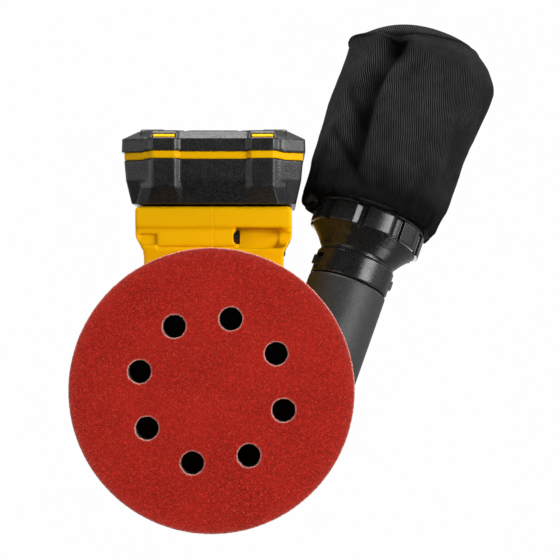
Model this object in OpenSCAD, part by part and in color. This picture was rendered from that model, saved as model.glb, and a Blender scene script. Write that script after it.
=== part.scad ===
// Cordless random orbit sander with a slide-on battery pack and a dust bag.
// Frame: +Z up, the abrasive face on z = 0, the motor axis on the Z axis,
// the battery behind the tool at +Y, the dust port leaving towards -X +Y.
// Lengths are in millimetres.

/* [Pad] */
// Diameter of the abrasive disc
disc_d = 125; // [115:1:127]
// Thickness of the abrasive disc
disc_t = 1; // [0.8:0.1:1.2]
// Thickness of the hook layer under the foam
hook_t = 1.5; // [1:0.1:2]
// Thickness of the foam layer
foam_t = 8; // [7:0.5:8.5]
// Thickness of the rigid backing plate
plate_t = 3.5; // [3:0.1:3.7]
// Diameter of each dust hole
dust_hole_d = 10; // [8:0.5:11]
// Diameter of the circle that the dust holes lie on
dust_hole_pcd = 65; // [63:0.5:67]
// Angle of the first dust hole from +X
dust_hole_phase = 15; // [0:1:44]
// Distance from the motor axis to the pad's axis
orbit_r = 1.2; // [0.8:0.1:1.3]

/* [Body] */
// Height of the housing's dome under the grip
dome_top = 143.4; // [143:0.1:144]
// Outer radius of the palm grip
grip_r = 46; // [45:0.5:47]
// Thickness of the rubber grip
grip_t = 2.8; // [2.4:0.1:3]
// Half width of the neck between motor and battery
neck_half_w = 31.5; // [30.5:0.5:32]
// Half width of the battery foot
foot_half_w = 35.2; // [34.2:0.2:35.4]
// Housing wall thickness
wall = 2.7; // [2.5:0.1:3]

/* [Battery] */
// Lower end of the battery pack
pack_z0 = 24; // [23:0.5:25]
// Upper end of the battery pack
pack_z1 = 139; // [138:0.5:140]
// Radius of one cell
cell_r = 9.2; // [9:0.1:9.2]
// Height of the tongue that slides into the foot
tongue_z0 = 45.6; // [45.3:0.1:46]

/* [Dust] */
// Sideways turn of the dust port from +Y towards -X
port_turn = 20; // [18:1:22]
// Upward tilt of the dust port
port_tilt = 13; // [12:1:14]
// Outer radius of the port tube
port_r = 18.2; // [18:0.1:18.4]
// Length of the dust bag along the port's axis
bag_len = 95.5; // [91:0.5:97]

/* [Hidden] */
$fn = 64;
e = 0.01;

// Pad stack, from the abrasive face up
hook_z = disc_t;
foam_z = hook_z + hook_t;
plate_z = foam_z + foam_t;
plate_top = plate_z + plate_t;
hub_top = plate_top + 3;
spindle_top = 34.5;

// Levels of the drive, from the pad up
bearing_cup_z0 = 21;
shroud_top = 42;
plate_flange_t = 4;
lower_bearing_z = 45;
upper_bearing_z = 107;
bearing_h = 7;
bearing_ri = 4;
bearing_ro = 11;
stator_z0 = 62;
stator_z1 = 87;
stator_r = 27;
stator_ri = 15.6;
shaft_top = upper_bearing_z + bearing_h + 2;

// The foot's cavity and the tongue that slides in it
foot_y0 = 66;
foot_y1 = 80.6;
foot_z0 = 30;
foot_top = 132;
slot_y0 = 68.5;
slot_floor = 41;
pack_face_y = 81.2;
band_y0 = 101.2;
band_y1 = 104.6;
pack_base_y = 114.2;
blade_x = [-12, -4, 4, 12];
lead_x = 8;

// The five clamshell screws, as [y, z]; each runs along X
screw_at = [[-31.5, 57], [-31.5, 97], [66.4, 34.6], [56, 49], [38.2, 117.4]];
foot_boss = screw_at[2];

// Dust port: where the bag's collar meets the tube
port_joint = [-60.5, 44.1, 46.5];
port_root = -55;
spigot_r = 15.6;
bore_r = 13.4;
collar_lobe_z = 23;
collar_rim = 32.6;
bag_z0 = 34;

// ---------------------------------------------------------------- helpers

module ring(ro, ri, h) {
    difference() {
        cylinder(r = ro, h = h);
        translate([0, 0, -e]) cylinder(r = ri, h = h + 2 * e);
    }
}

module at_port() {
    translate(port_joint) rotate([0, 0, port_turn]) rotate([port_tilt - 90, 0, 0]) children();
}

module at_pad() {
    translate([0, -orbit_r, 0]) children();
}

module box(lo, hi) {
    translate(lo) cube(hi - lo);
}

module along_x(r, x0, x1, y, z) {
    translate([x0, y, z]) rotate([0, 90, 0]) cylinder(r = r, h = x1 - x0);
}

module along_y(r, y0, y1, x, z) {
    translate([x, y0, z]) rotate([-90, 0, 0]) cylinder(r = r, h = y1 - y0);
}

module rounded_rect(lo, hi, r) {
    translate([lo[0] + r, lo[1]]) square([hi[0] - lo[0] - 2 * r, hi[1] - lo[1]]);
    translate([lo[0], lo[1] + r]) square([hi[0] - lo[0], hi[1] - lo[1] - 2 * r]);
    for (x = [lo[0] + r, hi[0] - r], y = [lo[1] + r, hi[1] - r]) translate([x, y]) circle(r = r);
}

module dust_holes(z0, z1, r = dust_hole_d / 2) {
    for (i = [0:7])
        rotate([0, 0, dust_hole_phase + 45 * i])
            translate([dust_hole_pcd / 2, 0, z0]) cylinder(r = r, h = z1 - z0);
}

// Two sections with the same number of points, joined by flat quads along Y.
// Each section is [y, [[x, z], ...]].
module loft_y(sections) {
    n = len(sections[0][1]);
    m = len(sections);
    points = [for (s = sections, p = s[1]) [p[0], s[0], p[1]]];
    sides = [for (k = [0:m - 2], i = [0:n - 1])
        [k * n + i, k * n + (i + 1) % n, (k + 1) * n + (i + 1) % n, (k + 1) * n + i]];
    polyhedron(points, concat([[for (i = [n - 1:-1:0]) i]], sides,
                              [[for (i = [0:n - 1]) (m - 1) * n + i]]));
}

// ---------------------------------------------------------------- housing

dome_power = 0.62;

// Quarter dome profile from its widest radius up to its top
function dome(r, z_wide, z_top) = [for (a = [0:7.5:90])
    [r * pow(cos(a), dome_power), z_wide + (z_top - z_wide) * pow(sin(a), dome_power + 0.2)]];

module barrel_outer() {
    rotate_extrude() polygon(concat(
        [[0, shroud_top], [44.5, shroud_top], [45, 42.6], [45, 46], [41, 52], [39, 60],
         [38.4, 74], [38.8, 86], [40, 94], [grip_r - grip_t - 1.4, 101]],
        dome(grip_r - grip_t, 112, dome_top)));
}

module barrel_inner() {
    rotate_extrude() polygon(concat(
        [[0, shroud_top - e], [38.2, shroud_top - e], [38.2, 46.2], [35.5, 52], [35, 60],
         [34.6, 76], [35.6, 90], [38.4, 101]],
        dome(grip_r - grip_t - wall, 112, dome_top - wall)));
}

module neck_outer() {
    intersection() {
        linear_extrude(height = 140) {
            rounded_rect([-neck_half_w, 0], [neck_half_w, 74], 4);
            rounded_rect([-foot_half_w, foot_y0 + 0.3], [foot_half_w, foot_y1], 2.2);
            polygon([[-neck_half_w, 59.7], [neck_half_w, 59.7], [foot_half_w, foot_y0 + 0.5],
                     [foot_half_w, 72], [-foot_half_w, 72], [-foot_half_w, foot_y0 + 0.5]]);
        }
        rotate([90, 0, 90]) translate([0, 0, -40]) linear_extrude(height = 80)
            polygon([[0, 34], [57, 34], [62, 31.6], [70.2, 31.6], [71, foot_z0], [79, foot_z0],
                     [foot_y1, 31.6], [foot_y1, foot_top - 1.5], [79, foot_top],
                     [69, foot_top], [65, 127], [0, 127]]);
    }
}

module shroud_envelope(gap = 0) {
    translate([0, 0, -1]) cylinder(r = 58.2 + gap, h = shroud_top + 1 + e);
}

module housing_outer() {
    barrel_outer();
    difference() {
        neck_outer();
        shroud_envelope(0.4);
    }
}

// The screw boss across the foot's underside, with the driver's channel beside it
module foot_channel() {
    y = foot_boss[0];
    difference() {
        union() {
            box([-29.2, y - 4.9, foot_z0 - 1], [-9.7, y + 4.1, 38.4]);
            translate([-29.2, y - 0.4, foot_z0 - 1]) cylinder(r = 4.5, h = 39.4 - foot_z0);
            box([-9.7 - e, y - 4.9, foot_z0 - 1], [foot_half_w + 1, y + 1.8, 38.4]);
        }
        along_x(4.6, -9.7, 25.5, y, foot_boss[1]);
        box([-9.7, y - 4.6, foot_boss[1]], [25.5, y + 4.6, 39]);
        box([25.5, y - 5, 33.4], [foot_half_w + 2, y + 5, 39]);
    }
}

module foot_cavity() {
    box([-27.5, slot_y0, slot_floor], [27.5, 77.2, foot_top + 1]);
    box([-24.5, 77.2 - e, slot_floor], [24.5, foot_y1 + 1, foot_top + 1]);
    box([-9, slot_y0 - 1.8, 117], [9, slot_y0 + e, foot_top + 1]);
}

module cavity() {
    barrel_inner();
    box([-neck_half_w + wall, 10, 45], [neck_half_w - wall, 64.3, 124]);
    foot_cavity();
    foot_channel();
    for (side = [-1, 1]) box([side * lead_x - 1.5, 61.2, 42.4], [side * lead_x + 1.5, slot_y0 + e, 46]);
}

module screw_bosses() {
    for (p = [screw_at[0], screw_at[1], screw_at[3], screw_at[4]])
        along_x(4.6, -neck_half_w + 1, neck_half_w - 1, p[0], p[1]);
}

module motor_seat() {
    difference() {
        union() {
            for (i = [0, 3, 4, 5, 6, 7]) rotate([0, 0, 22.5 + 45 * i])
                box([stator_r - 1, -1.25, 58], [36.5, 1.25, 88.6]);
            translate([0, 0, 106.4]) cylinder(r = 16, h = 8.8);
            translate([0, 0, 109]) cylinder(r = 41, h = 3);
        }
        translate([0, 0, 50]) cylinder(r = stator_r, h = 50);
        translate([0, 0, 100]) cylinder(r = 13, h = 20);
        for (i = [0:3]) rotate([0, 0, 45 + 90 * i]) translate([26, 0, 100]) cylinder(r = 5, h = 20);
    }
}

module screw_holes() {
    for (p = screw_at) {
        along_x(3.3, -50, -9, p[0], p[1]);
        along_x(1.8, -9 - e, 0, p[0], p[1]);
        along_x(1.5, -e, 15, p[0], p[1]);
    }
}

module side_vents() {
    for (z = [62:7:104], side = [-1, 1])
        box([side * neck_half_w - 4, 42, z], [side * neck_half_w + 4, 56, z + 2.6]);
}

module dial_slot() {
    box([-3.7, 44.4, 122], [3.7, 62.8, 128]);
}

module at_switch() {
    translate([0, -44.6, 121]) rotate([78, 0, 0]) children();
}

module bezel_block(gap = 0) {
    at_switch() translate([0, 0, -12 - gap]) linear_extrude(height = 30)
        rounded_rect([-13 - gap, -9 - gap], [13 + gap, 9 + gap], 3);
}

module side_strip_block(gap = 0) {
    for (side = [-1, 1])
        box([side * neck_half_w - 0.8 - gap, 58.6 - gap, 44 - gap],
            [side * neck_half_w + 0.8 + gap, 61.4 + gap, 118 + gap]);
}

// One clamshell half; side is -1 for X < 0 and 1 for X > 0
module housing_half(side) {
    intersection() {
        difference() {
            union() {
                difference() {
                    housing_outer();
                    cavity();
                }
                intersection() {
                    housing_outer();
                    union() {
                        screw_bosses();
                        motor_seat();
                    }
                }
            }
            screw_holes();
            side_vents();
            dial_slot();
            bezel_block(0.2);
            side_strip_block();
        }
        box([side < 0 ? -60 : 0, -60, 20], [side < 0 ? 0 : 60, 90, 150]);
    }
}

module housing_left() {
    color("gold") housing_half(-1);
}

module housing_right() {
    color("gold") housing_half(1);
}

module palm_grip() {
    color("#262626") difference() {
        rotate_extrude() polygon(concat(
            [[0, 104], [grip_r - 2.4, 100.8], [grip_r - 1.2, 101.2], [grip_r - 0.4, 105]],
            dome(grip_r, 112, dome_top + grip_t)));
        rotate_extrude() polygon(concat(
            [[0, 99], [grip_r - grip_t - 1.4, 99], [grip_r - grip_t - 1.4, 101]],
            dome(grip_r - grip_t, 112, dome_top)));
        neck_outer();
        bezel_block(0.2);
    }
}

module side_strips() {
    color("#262626") intersection() {
        side_strip_block();
        box([-neck_half_w - 0.8, 50, 44], [neck_half_w + 0.8, 70, 118]);
    }
}

module housing_screws() {
    color("#202020") for (p = screw_at) {
        difference() {
            along_x(3.1, -11.8, -9, p[0], p[1]);
            translate([-10.4, p[0], p[1]]) rotate([0, -90, 0]) cylinder(r = 1.5, h = 3, $fn = 6);
        }
        along_x(1.45, -9 - e, 13, p[0], p[1]);
    }
}

// ---------------------------------------------------------------- shroud and port

shroud_screw_r = 33;

module dust_shroud() {
    color("gold") difference() {
        union() {
            rotate_extrude() polygon([[50, 39.4], [55.6, 30], [55.6, 17], [58, 17], [58, 29.6],
                                      [53, 40], [50, shroud_top], [15, shroud_top], [15, 39.4]]);
            for (p = port_ear_at) translate([p[0], p[1], 36.6]) cylinder(r = 2.8, h = 4);
        }
        for (p = port_ear_at) translate([p[0], p[1], 30]) cylinder(r = 1.1, h = 20);
        at_port() translate([0, 0, port_root]) cylinder(r = 14.6, h = 90);
        for (i = [0:3]) rotate([0, 0, 45 + 90 * i])
            translate([shroud_screw_r, 0, 30]) cylinder(r = 1.7, h = 20);
    }
}

module shroud_screws() {
    color("silver") for (i = [0:3]) rotate([0, 0, 45 + 90 * i]) translate([shroud_screw_r, 0, 0]) {
        translate([0, 0, 38]) ring(3, 1, 1.4);
        translate([0, 0, 38.4]) cylinder(r = 1, h = 1);
        translate([0, 0, 39.4 - e]) cylinder(r = 1.6, h = 6.5);
    }
}

module dust_port() {
    color("#3a3b3d") difference() {
        union() {
            at_port() translate([0, 0, port_root]) cylinder(r = port_r, h = -port_root);
            at_port() translate([0, 0, port_root]) sphere(r = port_r);
            at_port() translate([0, 0, -e]) cylinder(r = spigot_r, h = 15);
            at_port() for (a = [0, 180]) rotate([0, 0, a])
                box([spigot_r - 1, -2, 5], [port_r + 0.9, 2, 9]);
            port_ears();
        }
        at_port() translate([0, 0, port_root]) cylinder(r = 14.6, h = 53);
        at_port() translate([0, 0, port_root]) sphere(r = 14.6);
        at_port() translate([0, 0, -5]) cylinder(r = bore_r, h = 30);
        translate([0, 0, -1]) cylinder(r = 58.1, h = 18);
        shroud_solid();
        barrel_outer();
        difference() {
            neck_outer();
            shroud_envelope(0.4);
        }
        box([-90, -60, 0], [0, 60, 17.2]);
        port_screw_holes();
    }
}

// Everything inside the shroud's outer surface, so that the port stops on it
module shroud_solid() {
    rotate_extrude() polygon([[0, 0], [58.1, 0], [58.1, 29.6], [53.1, 40.1],
                              [50.1, shroud_top + 0.1], [0, shroud_top + 0.1]]);
}

// Ears that hold the port down on the shroud, each as [x, y, direction to the tube]
port_ear_at = [[-41.7, -25.1, 90], [-34.3, 34.7, 200]];

module port_ears() {
    for (p = port_ear_at) translate([p[0], p[1], shroud_top]) rotate([0, 0, p[2]]) {
        cylinder(r = 3.3, h = 2);
        box([0, -3.3, 0], [5.2, 3.3, 2]);
    }
}

module port_screw_holes() {
    for (p = port_ear_at) translate([p[0], p[1], 30]) cylinder(r = 1.3, h = 20);
}

module port_screws() {
    color("silver") for (p = port_ear_at) translate([p[0], p[1], 0]) {
        difference() {
            translate([0, 0, shroud_top + 2]) cylinder(r = 2.2, h = 1.6);
            translate([0, 0, shroud_top + 2.8]) cylinder(r = 1, h = 2, $fn = 6);
        }
        translate([0, 0, 37]) cylinder(r = 1.1, h = shroud_top + 2 - 37 + e);
    }
}

module pad_brake_ring() {
    color("#1c1c1c") rotate_extrude()
        polygon([[52.4, 17.6], [50.6, 14.4], [53.2, 14.4], [55.5, 17.4], [55.5, 24], [53.6, 24]]);
}

// ---------------------------------------------------------------- bearings

ball_r = 1.7;
race_r = (bearing_ri + bearing_ro) / 2;

module outer_race() {
    difference() {
        ring(bearing_ro, race_r + 1.2, bearing_h);
        rotate_extrude() translate([race_r, bearing_h / 2]) circle(r = ball_r + 0.06);
    }
    for (i = [0:7]) rotate([0, 0, 45 * i]) translate([race_r, 0, bearing_h / 2]) sphere(r = ball_r);
}

module inner_race() {
    difference() {
        ring(race_r - 1.2, bearing_ri, bearing_h);
        rotate_extrude() translate([race_r, bearing_h / 2]) circle(r = ball_r + 0.06);
    }
}

module lower_bearing() {
    color("silver") translate([0, 0, lower_bearing_z]) outer_race();
}

module upper_bearing() {
    color("silver") translate([0, 0, upper_bearing_z]) outer_race();
}

module lower_bearing_inner() {
    color("silver") translate([0, 0, lower_bearing_z]) inner_race();
}

module upper_bearing_inner() {
    color("silver") translate([0, 0, upper_bearing_z]) inner_race();
}

module bearing_boot() {
    color("#1c1c1c") translate([0, 0, 106.6]) ring(13, bearing_ro, 8);
}

module bearing_plate() {
    color("lightgray") difference() {
        union() {
            translate([0, 0, shroud_top]) cylinder(r = 38, h = plate_flange_t);
            translate([0, 0, shroud_top]) cylinder(r = 15, h = 11.4);
            for (i = [0:7]) rotate([0, 0, 22.5 + 45 * i])
                box([12, -1, shroud_top], [34, 1, 49]);
        }
        translate([0, 0, 30]) cylinder(r = 6, h = 30);
        translate([0, 0, lower_bearing_z]) cylinder(r = bearing_ro, h = 10);
        for (i = [0:3]) rotate([0, 0, 45 + 90 * i]) translate([shroud_screw_r, 0, 40])
            cylinder(r = 1.6, h = 20);
    }
}

// ---------------------------------------------------------------- motor

module stator_core() {
    color("dimgray") translate([0, 0, stator_z0]) difference() {
        union() {
            ring(stator_r, 22.5, stator_z1 - stator_z0);
            for (i = [0:8]) rotate([0, 0, 40 * i]) {
                box([17, -1.8, 0], [23, 1.8, stator_z1 - stator_z0]);
                box([stator_ri - 0.5, -4.6, 0], [17.6, 4.6, stator_z1 - stator_z0]);
            }
        }
        translate([0, 0, -1]) cylinder(r = stator_ri, h = 40);
    }
}

module stator_coils() {
    color("chocolate") for (i = [0:8]) rotate([0, 0, 40 * i]) difference() {
        box([17.8, -3.6, 57], [22, 3.6, 92]);
        box([17, -1.9, stator_z0 - 0.1], [23, 1.9, stator_z1 + 0.1]);
    }
}

module sensor_board() {
    color("green") difference() {
        translate([0, 0, 92]) ring(25, 13, 1.4);
    }
}

module motor_shaft() {
    color("silver") translate([0, 0, 38.5]) cylinder(r = bearing_ri, h = shaft_top - 38.5);
}

module rotor_core() {
    color("dimgray") translate([0, 0, stator_z0]) difference() {
        ring(13.4, bearing_ri, stator_z1 - stator_z0);
        for (i = [0:5]) rotate([0, 0, 60 * i]) translate([8.6, 0, -1]) cylinder(r = 1.6, h = 40);
    }
}

module rotor_magnets() {
    color("gray") translate([0, 0, stator_z0]) difference() {
        ring(15, 13.4, stator_z1 - stator_z0);
        for (i = [0:3]) rotate([0, 0, 90 * i]) box([10, -0.6, -1], [16, 0.6, 40]);
    }
}

module cooling_fan() {
    color("#2c2c2c") translate([0, 0, 95]) {
        ring(9, bearing_ri, 9);
        difference() {
            ring(25, 8.9, 1.4);
        }
        for (i = [0:10]) rotate([0, 0, i * 360 / 11]) box([8.8, -0.7, 1.3], [24, 0.7, 8]);
    }
}

module counterweight_fan() {
    color("#323232") difference() {
        union() {
            at_pad() translate([0, 0, bearing_cup_z0]) cylinder(r = 17.6, h = 14.5);
            translate([0, 0, 33]) cylinder(r = 9, h = 8.2);
            translate([0, 0, 41]) cylinder(r = 5.6, h = 4);
            intersection() {
                translate([0, 0, 28]) cylinder(r = 40, h = 6);
                translate([0, 30, 30]) cube([70, 60, 20], center = true);
            }
            translate([0, 0, 34]) cylinder(r = 27, h = 2.2);
            for (i = [0:9]) rotate([0, 0, 36 * i + 9]) box([16, -0.9, 24], [45, 0.9, 36.2]);
        }
        at_pad() translate([0, 0, bearing_cup_z0 - 1]) cylinder(r = 14, h = 14.5);
        at_pad() translate([0, 0, bearing_cup_z0 - e]) ring(14.7, 13.9, 1.3);
        at_pad() translate([0, 0, 34.4]) cylinder(r = 9, h = 0.7);
        translate([0, 0, 38.5]) cylinder(r = bearing_ri, h = 10);
    }
}

module pad_bearing() {
    color("silver") at_pad() translate([0, 0, 22.3]) {
        difference() {
            ring(14, 11.2, 12);
            for (z = [3, 9]) rotate_extrude() translate([10, z]) circle(r = 2.06);
        }
        for (z = [3, 9], i = [0:8]) rotate([0, 0, 40 * i]) translate([10, 0, z]) sphere(r = 2);
    }
}

module pad_bearing_clip() {
    color("dimgray") at_pad() translate([0, 0, 21.1]) difference() {
        ring(14.6, 12.4, 1.1);
        box([-2, 0, -1], [2, 20, 3]);
    }
}

// ---------------------------------------------------------------- pad

module pad_bearing_inner() {
    color("silver") at_pad() translate([0, 0, 22.3]) difference() {
        ring(8.8, 6, 12);
        for (z = [3, 9]) rotate_extrude() translate([10, z]) circle(r = 2.06);
    }
}

module pad_spindle() {
    color("silver") at_pad() difference() {
        union() {
            translate([0, 0, hub_top]) cylinder(r = 10.5, h = 2.8);
            translate([0, 0, hub_top + 2]) cylinder(r = 8, h = 22.3 - hub_top - 2);
            translate([0, 0, 22]) cylinder(r = 6, h = spindle_top - 22);
        }
        translate([0, 0, hub_top - 1]) cylinder(r = 3, h = 15);
    }
}

module backing_plate() {
    color("#1e1e1e") at_pad() difference() {
        union() {
            translate([0, 0, plate_z]) cylinder(r = 59.5, h = plate_t - 0.8);
            translate([0, 0, plate_z]) cylinder(r = 58.9, h = plate_t);
            translate([0, 0, plate_z]) cylinder(r = 14, h = hub_top - plate_z);
            for (i = [0:7]) rotate([0, 0, dust_hole_phase + 22.5 + 45 * i])
                box([13, -1.1, plate_z], [46, 1.1, plate_top + 1.8]);
        }
        translate([0, 0, plate_z - 1]) cylinder(r = 3.2, h = 12);
        translate([0, 0, plate_z - 1]) dust_holes(0, 10);
    }
}

module foam_pad() {
    color("#2b2b2b") at_pad() difference() {
        translate([0, 0, foam_z]) cylinder(r1 = 61.4, r2 = 60.4, h = foam_t, $fn = 96);
        translate([0, 0, foam_z - 1]) cylinder(r = 11, h = foam_t + 2);
        dust_holes(foam_z - 1, plate_z + 1);
    }
}

module hook_layer() {
    color("#3b3b3b") at_pad() difference() {
        translate([0, 0, hook_z]) cylinder(r = 61.6, h = hook_t);
        translate([0, 0, hook_z - 1]) cylinder(r = 11, h = hook_t + 2);
        dust_holes(hook_z - 1, foam_z + 1);
    }
}

module abrasive_disc() {
    color("firebrick") at_pad() difference() {
        cylinder(r = disc_d / 2, h = disc_t);
        dust_holes(-1, disc_t + 1);
    }
}

module pad_screw() {
    color("silver") at_pad() {
        difference() {
            translate([0, 0, plate_z - 5]) cylinder(r = 5.2, h = 4);
            translate([0, 0, plate_z - 6]) cylinder(r = 2.3, h = 3.6, $fn = 6);
        }
        translate([0, 0, plate_z - 1 - e]) cylinder(r = 2.95, h = 20);
    }
}

module pad_washer() {
    color("silver") at_pad() translate([0, 0, plate_z - 1]) ring(9, 3.1, 1);
}

// ---------------------------------------------------------------- electronics

module controller_board() {
    color("green") box([-24, 50, 57], [24, 51.6, 106]);
}

module controller_parts() {
    color("silver") difference() {
        box([-22, 51.6, 60], [22, 54.2, 84]);
    }
    color("silver") for (i = [0:7]) box([-21 + 5.6 * i, 54.2, 60], [-19 + 5.6 * i, 62, 84]);
    color("black") for (x = [-14, 0, 14]) along_y(4.4, 51.6, 62.5, x, 95);
    color("black") for (x = [-18, -9, 0, 9, 18]) box([x - 2.5, 47.4, 66], [x + 2.5, 50, 73]);
}

module terminal_block() {
    color("#1c1c1c") difference() {
        box([-18, slot_y0 + 0.3, slot_floor], [18, 76.6, 45.2]);
        for (x = blade_x) box([x - 0.4, 70, slot_floor + 1], [x + 0.4, 75.5, 47]);
    }
}

module terminal_blades() {
    color("goldenrod") for (x = blade_x) box([x - 0.4, 70, slot_floor + 1], [x + 0.4, 75.5, 60]);
}

// A round wire through a list of points, with a ring of eight corners at each
module wire(points, r) {
    n = len(points);
    corners = 8;
    dirs = [for (i = [0:n - 1])
        let (d = points[min(i + 1, n - 1)] - points[max(i - 1, 0)]) d / norm(d)];
    rings = [for (i = [0:n - 1])
        let (u0 = cross(dirs[i], [0.3, 0.9, 0.32]), u = u0 / norm(u0), v = cross(dirs[i], u))
        for (k = [0:corners - 1])
            points[i] + r * (cos(360 * k / corners) * u + sin(360 * k / corners) * v)];
    sides = [for (i = [0:n - 2], k = [0:corners - 1])
        [i * corners + (k + 1) % corners, i * corners + k,
         (i + 1) * corners + k, (i + 1) * corners + (k + 1) % corners]];
    polyhedron(rings, concat([[for (k = [0:corners - 1]) k]], sides,
                             [[for (k = [corners - 1:-1:0]) (n - 1) * corners + k]]));
}

// Points along a three-point bend, eased at its middle
function bend(a, b, c, n = 10) = [for (i = [0:n]) let (t = i / n)
    (1 - t) * (1 - t) * a + 2 * t * (1 - t) * b + t * t * c];

// Two battery leads and three motor leads
module wiring() {
    for (side = [-1, 1]) color(side < 0 ? "black" : "red") {
        wire(concat(bend([side * lead_x, 68.8, 43.9], [side * lead_x, 62.5, 43.7],
                         [side * 9, 62.4, 49], 7),
                    bend([side * 9.4, 62.3, 51], [side * 12, 62, 60], [side * 20, 52.6, 58.4], 8)), 1.1);
    }
    color("#2244aa") for (x = [-7, 0, 7])
        wire(bend([x, 24.4, 90.6], [x * 1.5, 38, 89], [x * 2, 49.3, 92], 9), 1);
}

// ---------------------------------------------------------------- controls

rocker_pivot_z = -4;
rocker_r = 6.6;
rocker_tilt = -7;

module switch_bezel() {
    color("#1c1c1c") at_switch() difference() {
        union() {
            translate([0, 0, -12]) linear_extrude(height = 12.4)
                rounded_rect([-13, -9], [13, 9], 3);
        }
        translate([0, 0, -11]) linear_extrude(height = 20)
            rounded_rect([-10.9, -6.85], [10.9, 6.85], 1);
        translate([-12.2, 0, rocker_pivot_z]) rotate([0, 90, 0]) cylinder(r = 1.26, h = 24.4);
    }
}

module switch_rocker() {
    color("#303030") at_switch() translate([0, 0, rocker_pivot_z]) rotate([rocker_tilt, 0, 0]) {
        intersection() {
            translate([-10.5, 0, 0]) rotate([0, 90, 0]) cylinder(r = rocker_r, h = 21);
            rotate([90, 0, 90]) translate([0, 0, -11]) linear_extrude(height = 22)
                polygon([[-7, -3.6], [7, -3.6], [7, 6.4], [0, 4.5], [-7, 6.4]]);
        }
        translate([-12, 0, 0]) rotate([0, 90, 0]) cylinder(r = 1.2, h = 24);
    }
}

module switch_module() {
    color("#222222") at_switch() box([-9, -4.4, -21], [9, 6, -12]);
}

dial_at = [0, 53.6, 119.3];
dial_r = 10;

module speed_dial() {
    color("#1c1c1c") translate(dial_at) rotate([0, 90, 0]) {
        difference() {
            translate([0, 0, -3]) cylinder(r = dial_r, h = 6);
            for (i = [0:23]) rotate([0, 0, 15 * i]) translate([dial_r + 0.4, 0, -4])
                cylinder(r = 0.9, h = 8);
            translate([0, 0, 1.8]) ring(8, 4, 2);
            translate([0, 0, -3.8]) ring(8, 4, 2);
        }
        translate([0, 0, -7]) cylinder(r = 2, h = 16);
    }
}

module dial_sensor() {
    color("#244a8a") difference() {
        box([4.2, 48.4, 113.5], [12, 58.8, 124]);
        along_x(2.06, 4, 9.3, dial_at[1], dial_at[2]);
    }
    color("#1c1c1c") difference() {
        box([-7.2, 49.6, 115], [-4.2, 57.6, 124]);
        along_x(2.06, -7.1, -4, dial_at[1], dial_at[2]);
    }
}

// ---------------------------------------------------------------- battery pack

corner_x = 10.5;
corner_z = 7;

// Octagon of the pack at one level: half width w, ends z0 and z1
function pack_ring(w, z0, z1) = [
    [-w + corner_x, z0], [w - corner_x, z0], [w, z0 + corner_z], [w, z1 - corner_z],
    [w - corner_x, z1], [-w + corner_x, z1], [-w, z1 - corner_z], [-w, z0 + corner_z]];

pillar_x = 22;
pillar_w = 5;
pillar_foot = 7.2;
pillar_h = 1.8;

// Pillar section standing out of an end face at z, wider by spread; dir is -1 at the lower end
function pillar_ring(x, z, dir, spread) = let (
        inner = z - dir * 3,
        face = z + dir * pillar_h,
        foot = pillar_foot + spread,
        w = pillar_w + spread,
        pts = [[x - foot, inner], [x - foot, z], [x - w, face],
               [x + w, face], [x + foot, z], [x + foot, inner]])
    dir < 0 ? pts : [for (i = [5:-1:0]) pts[i]];

// Levels are [y, lower end, upper end, spread]
module pillars(levels) {
    for (x = [-pillar_x, pillar_x], dir = [-1, 1])
        loft_y([for (l = levels) [l[0], pillar_ring(x, dir < 0 ? l[1] : l[2], dir, l[3])]]);
}

upper_levels = [[pack_face_y, 37, 27.5, 135.6], [91.8, 39.4, 24.6, 138.4], [band_y0, 40.2, 24.2, 139]];
band_levels = [[band_y0, 40, 24.3, 138.8], [band_y1, 40.2, 24.3, 138.8]];
lower_levels = [[band_y1, 41.3, 23.4, 139.6], [110.3, 41.1, 23.6, 139.4], [pack_base_y, 33.5, 28, 135]];
room_levels = [[83.7, 34.8, 29.8, 133.2], [91.8, 37, 27, 136], [102, 37.6, 26.8, 136.4],
               [108.5, 37.6, 26.8, 136.4], [111.8, 35, 29, 134]];

module pack_shape(levels, pillar_levels) {
    loft_y([for (l = levels) [l[0], pack_ring(l[1], l[2], l[3])]]);
    pillars(pillar_levels);
}

// The space inside the pack, stopping short of the solid block around the latch
module pack_room() {
    difference() {
        loft_y([for (l = room_levels) [l[0], pack_ring(l[1], l[2], l[3])]]);
        box([-16, 80, 128.4], [16, band_y0, 140]);
    }
}

module tongue() {
    box([-27.1, 69, tongue_z0], [27.1, 76.8, 131.4]);
    box([-24.1, 76.8 - e, tongue_z0], [24.1, pack_face_y + 3, 131.4]);
}

latch_pocket_y = 98;

module latch_room() {
    box([-12.5, 82, 128.6], [12.5, latch_pocket_y, 145]);
    box([-8.5, 68, 118.3], [8.5, 90.4, 131.6]);
    box([-12.5, 79, 131.4], [12.5, 84, 145]);
    along_y(4, latch_pocket_y - 1, 100.6, 0, 134.6);
}

pack_screw_at = [[-12, 30.6], [12, 30.6], [-18.6, 131.6], [18.6, 131.6]];
pack_boss_r = 2.4;

module pack_upper_case() {
    color("#2a2a2c") difference() {
        union() {
            difference() {
                union() {
                    pack_shape(upper_levels, [[81.8, 28.9, 133.9, 2.2], [88.4, 24.9, 137.9, 0],
                                              [band_y0, 24.2, 139, 0]]);
                    tongue();
                }
                pack_room();
                box([-20, 71.5, 72], [20, 84, 112]);
            }
            for (p = pack_screw_at) along_y(pack_boss_r, 83, band_y0, p[0], p[1]);
        }
        latch_room();
        for (x = blade_x) box([x - 1.2, 68, 45], [x + 1.2, 76.4, 69]);
        for (p = pack_screw_at) along_y(1.1, 86, band_y0 + 1, p[0], p[1]);
    }
}

module pack_band() {
    color("gold") difference() {
        pack_shape(band_levels, [[band_y0, 24.3, 138.8, 0], [band_y1, 24.3, 138.8, 0]]);
        pack_room();
    }
}

plug_angle = 45;

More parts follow.
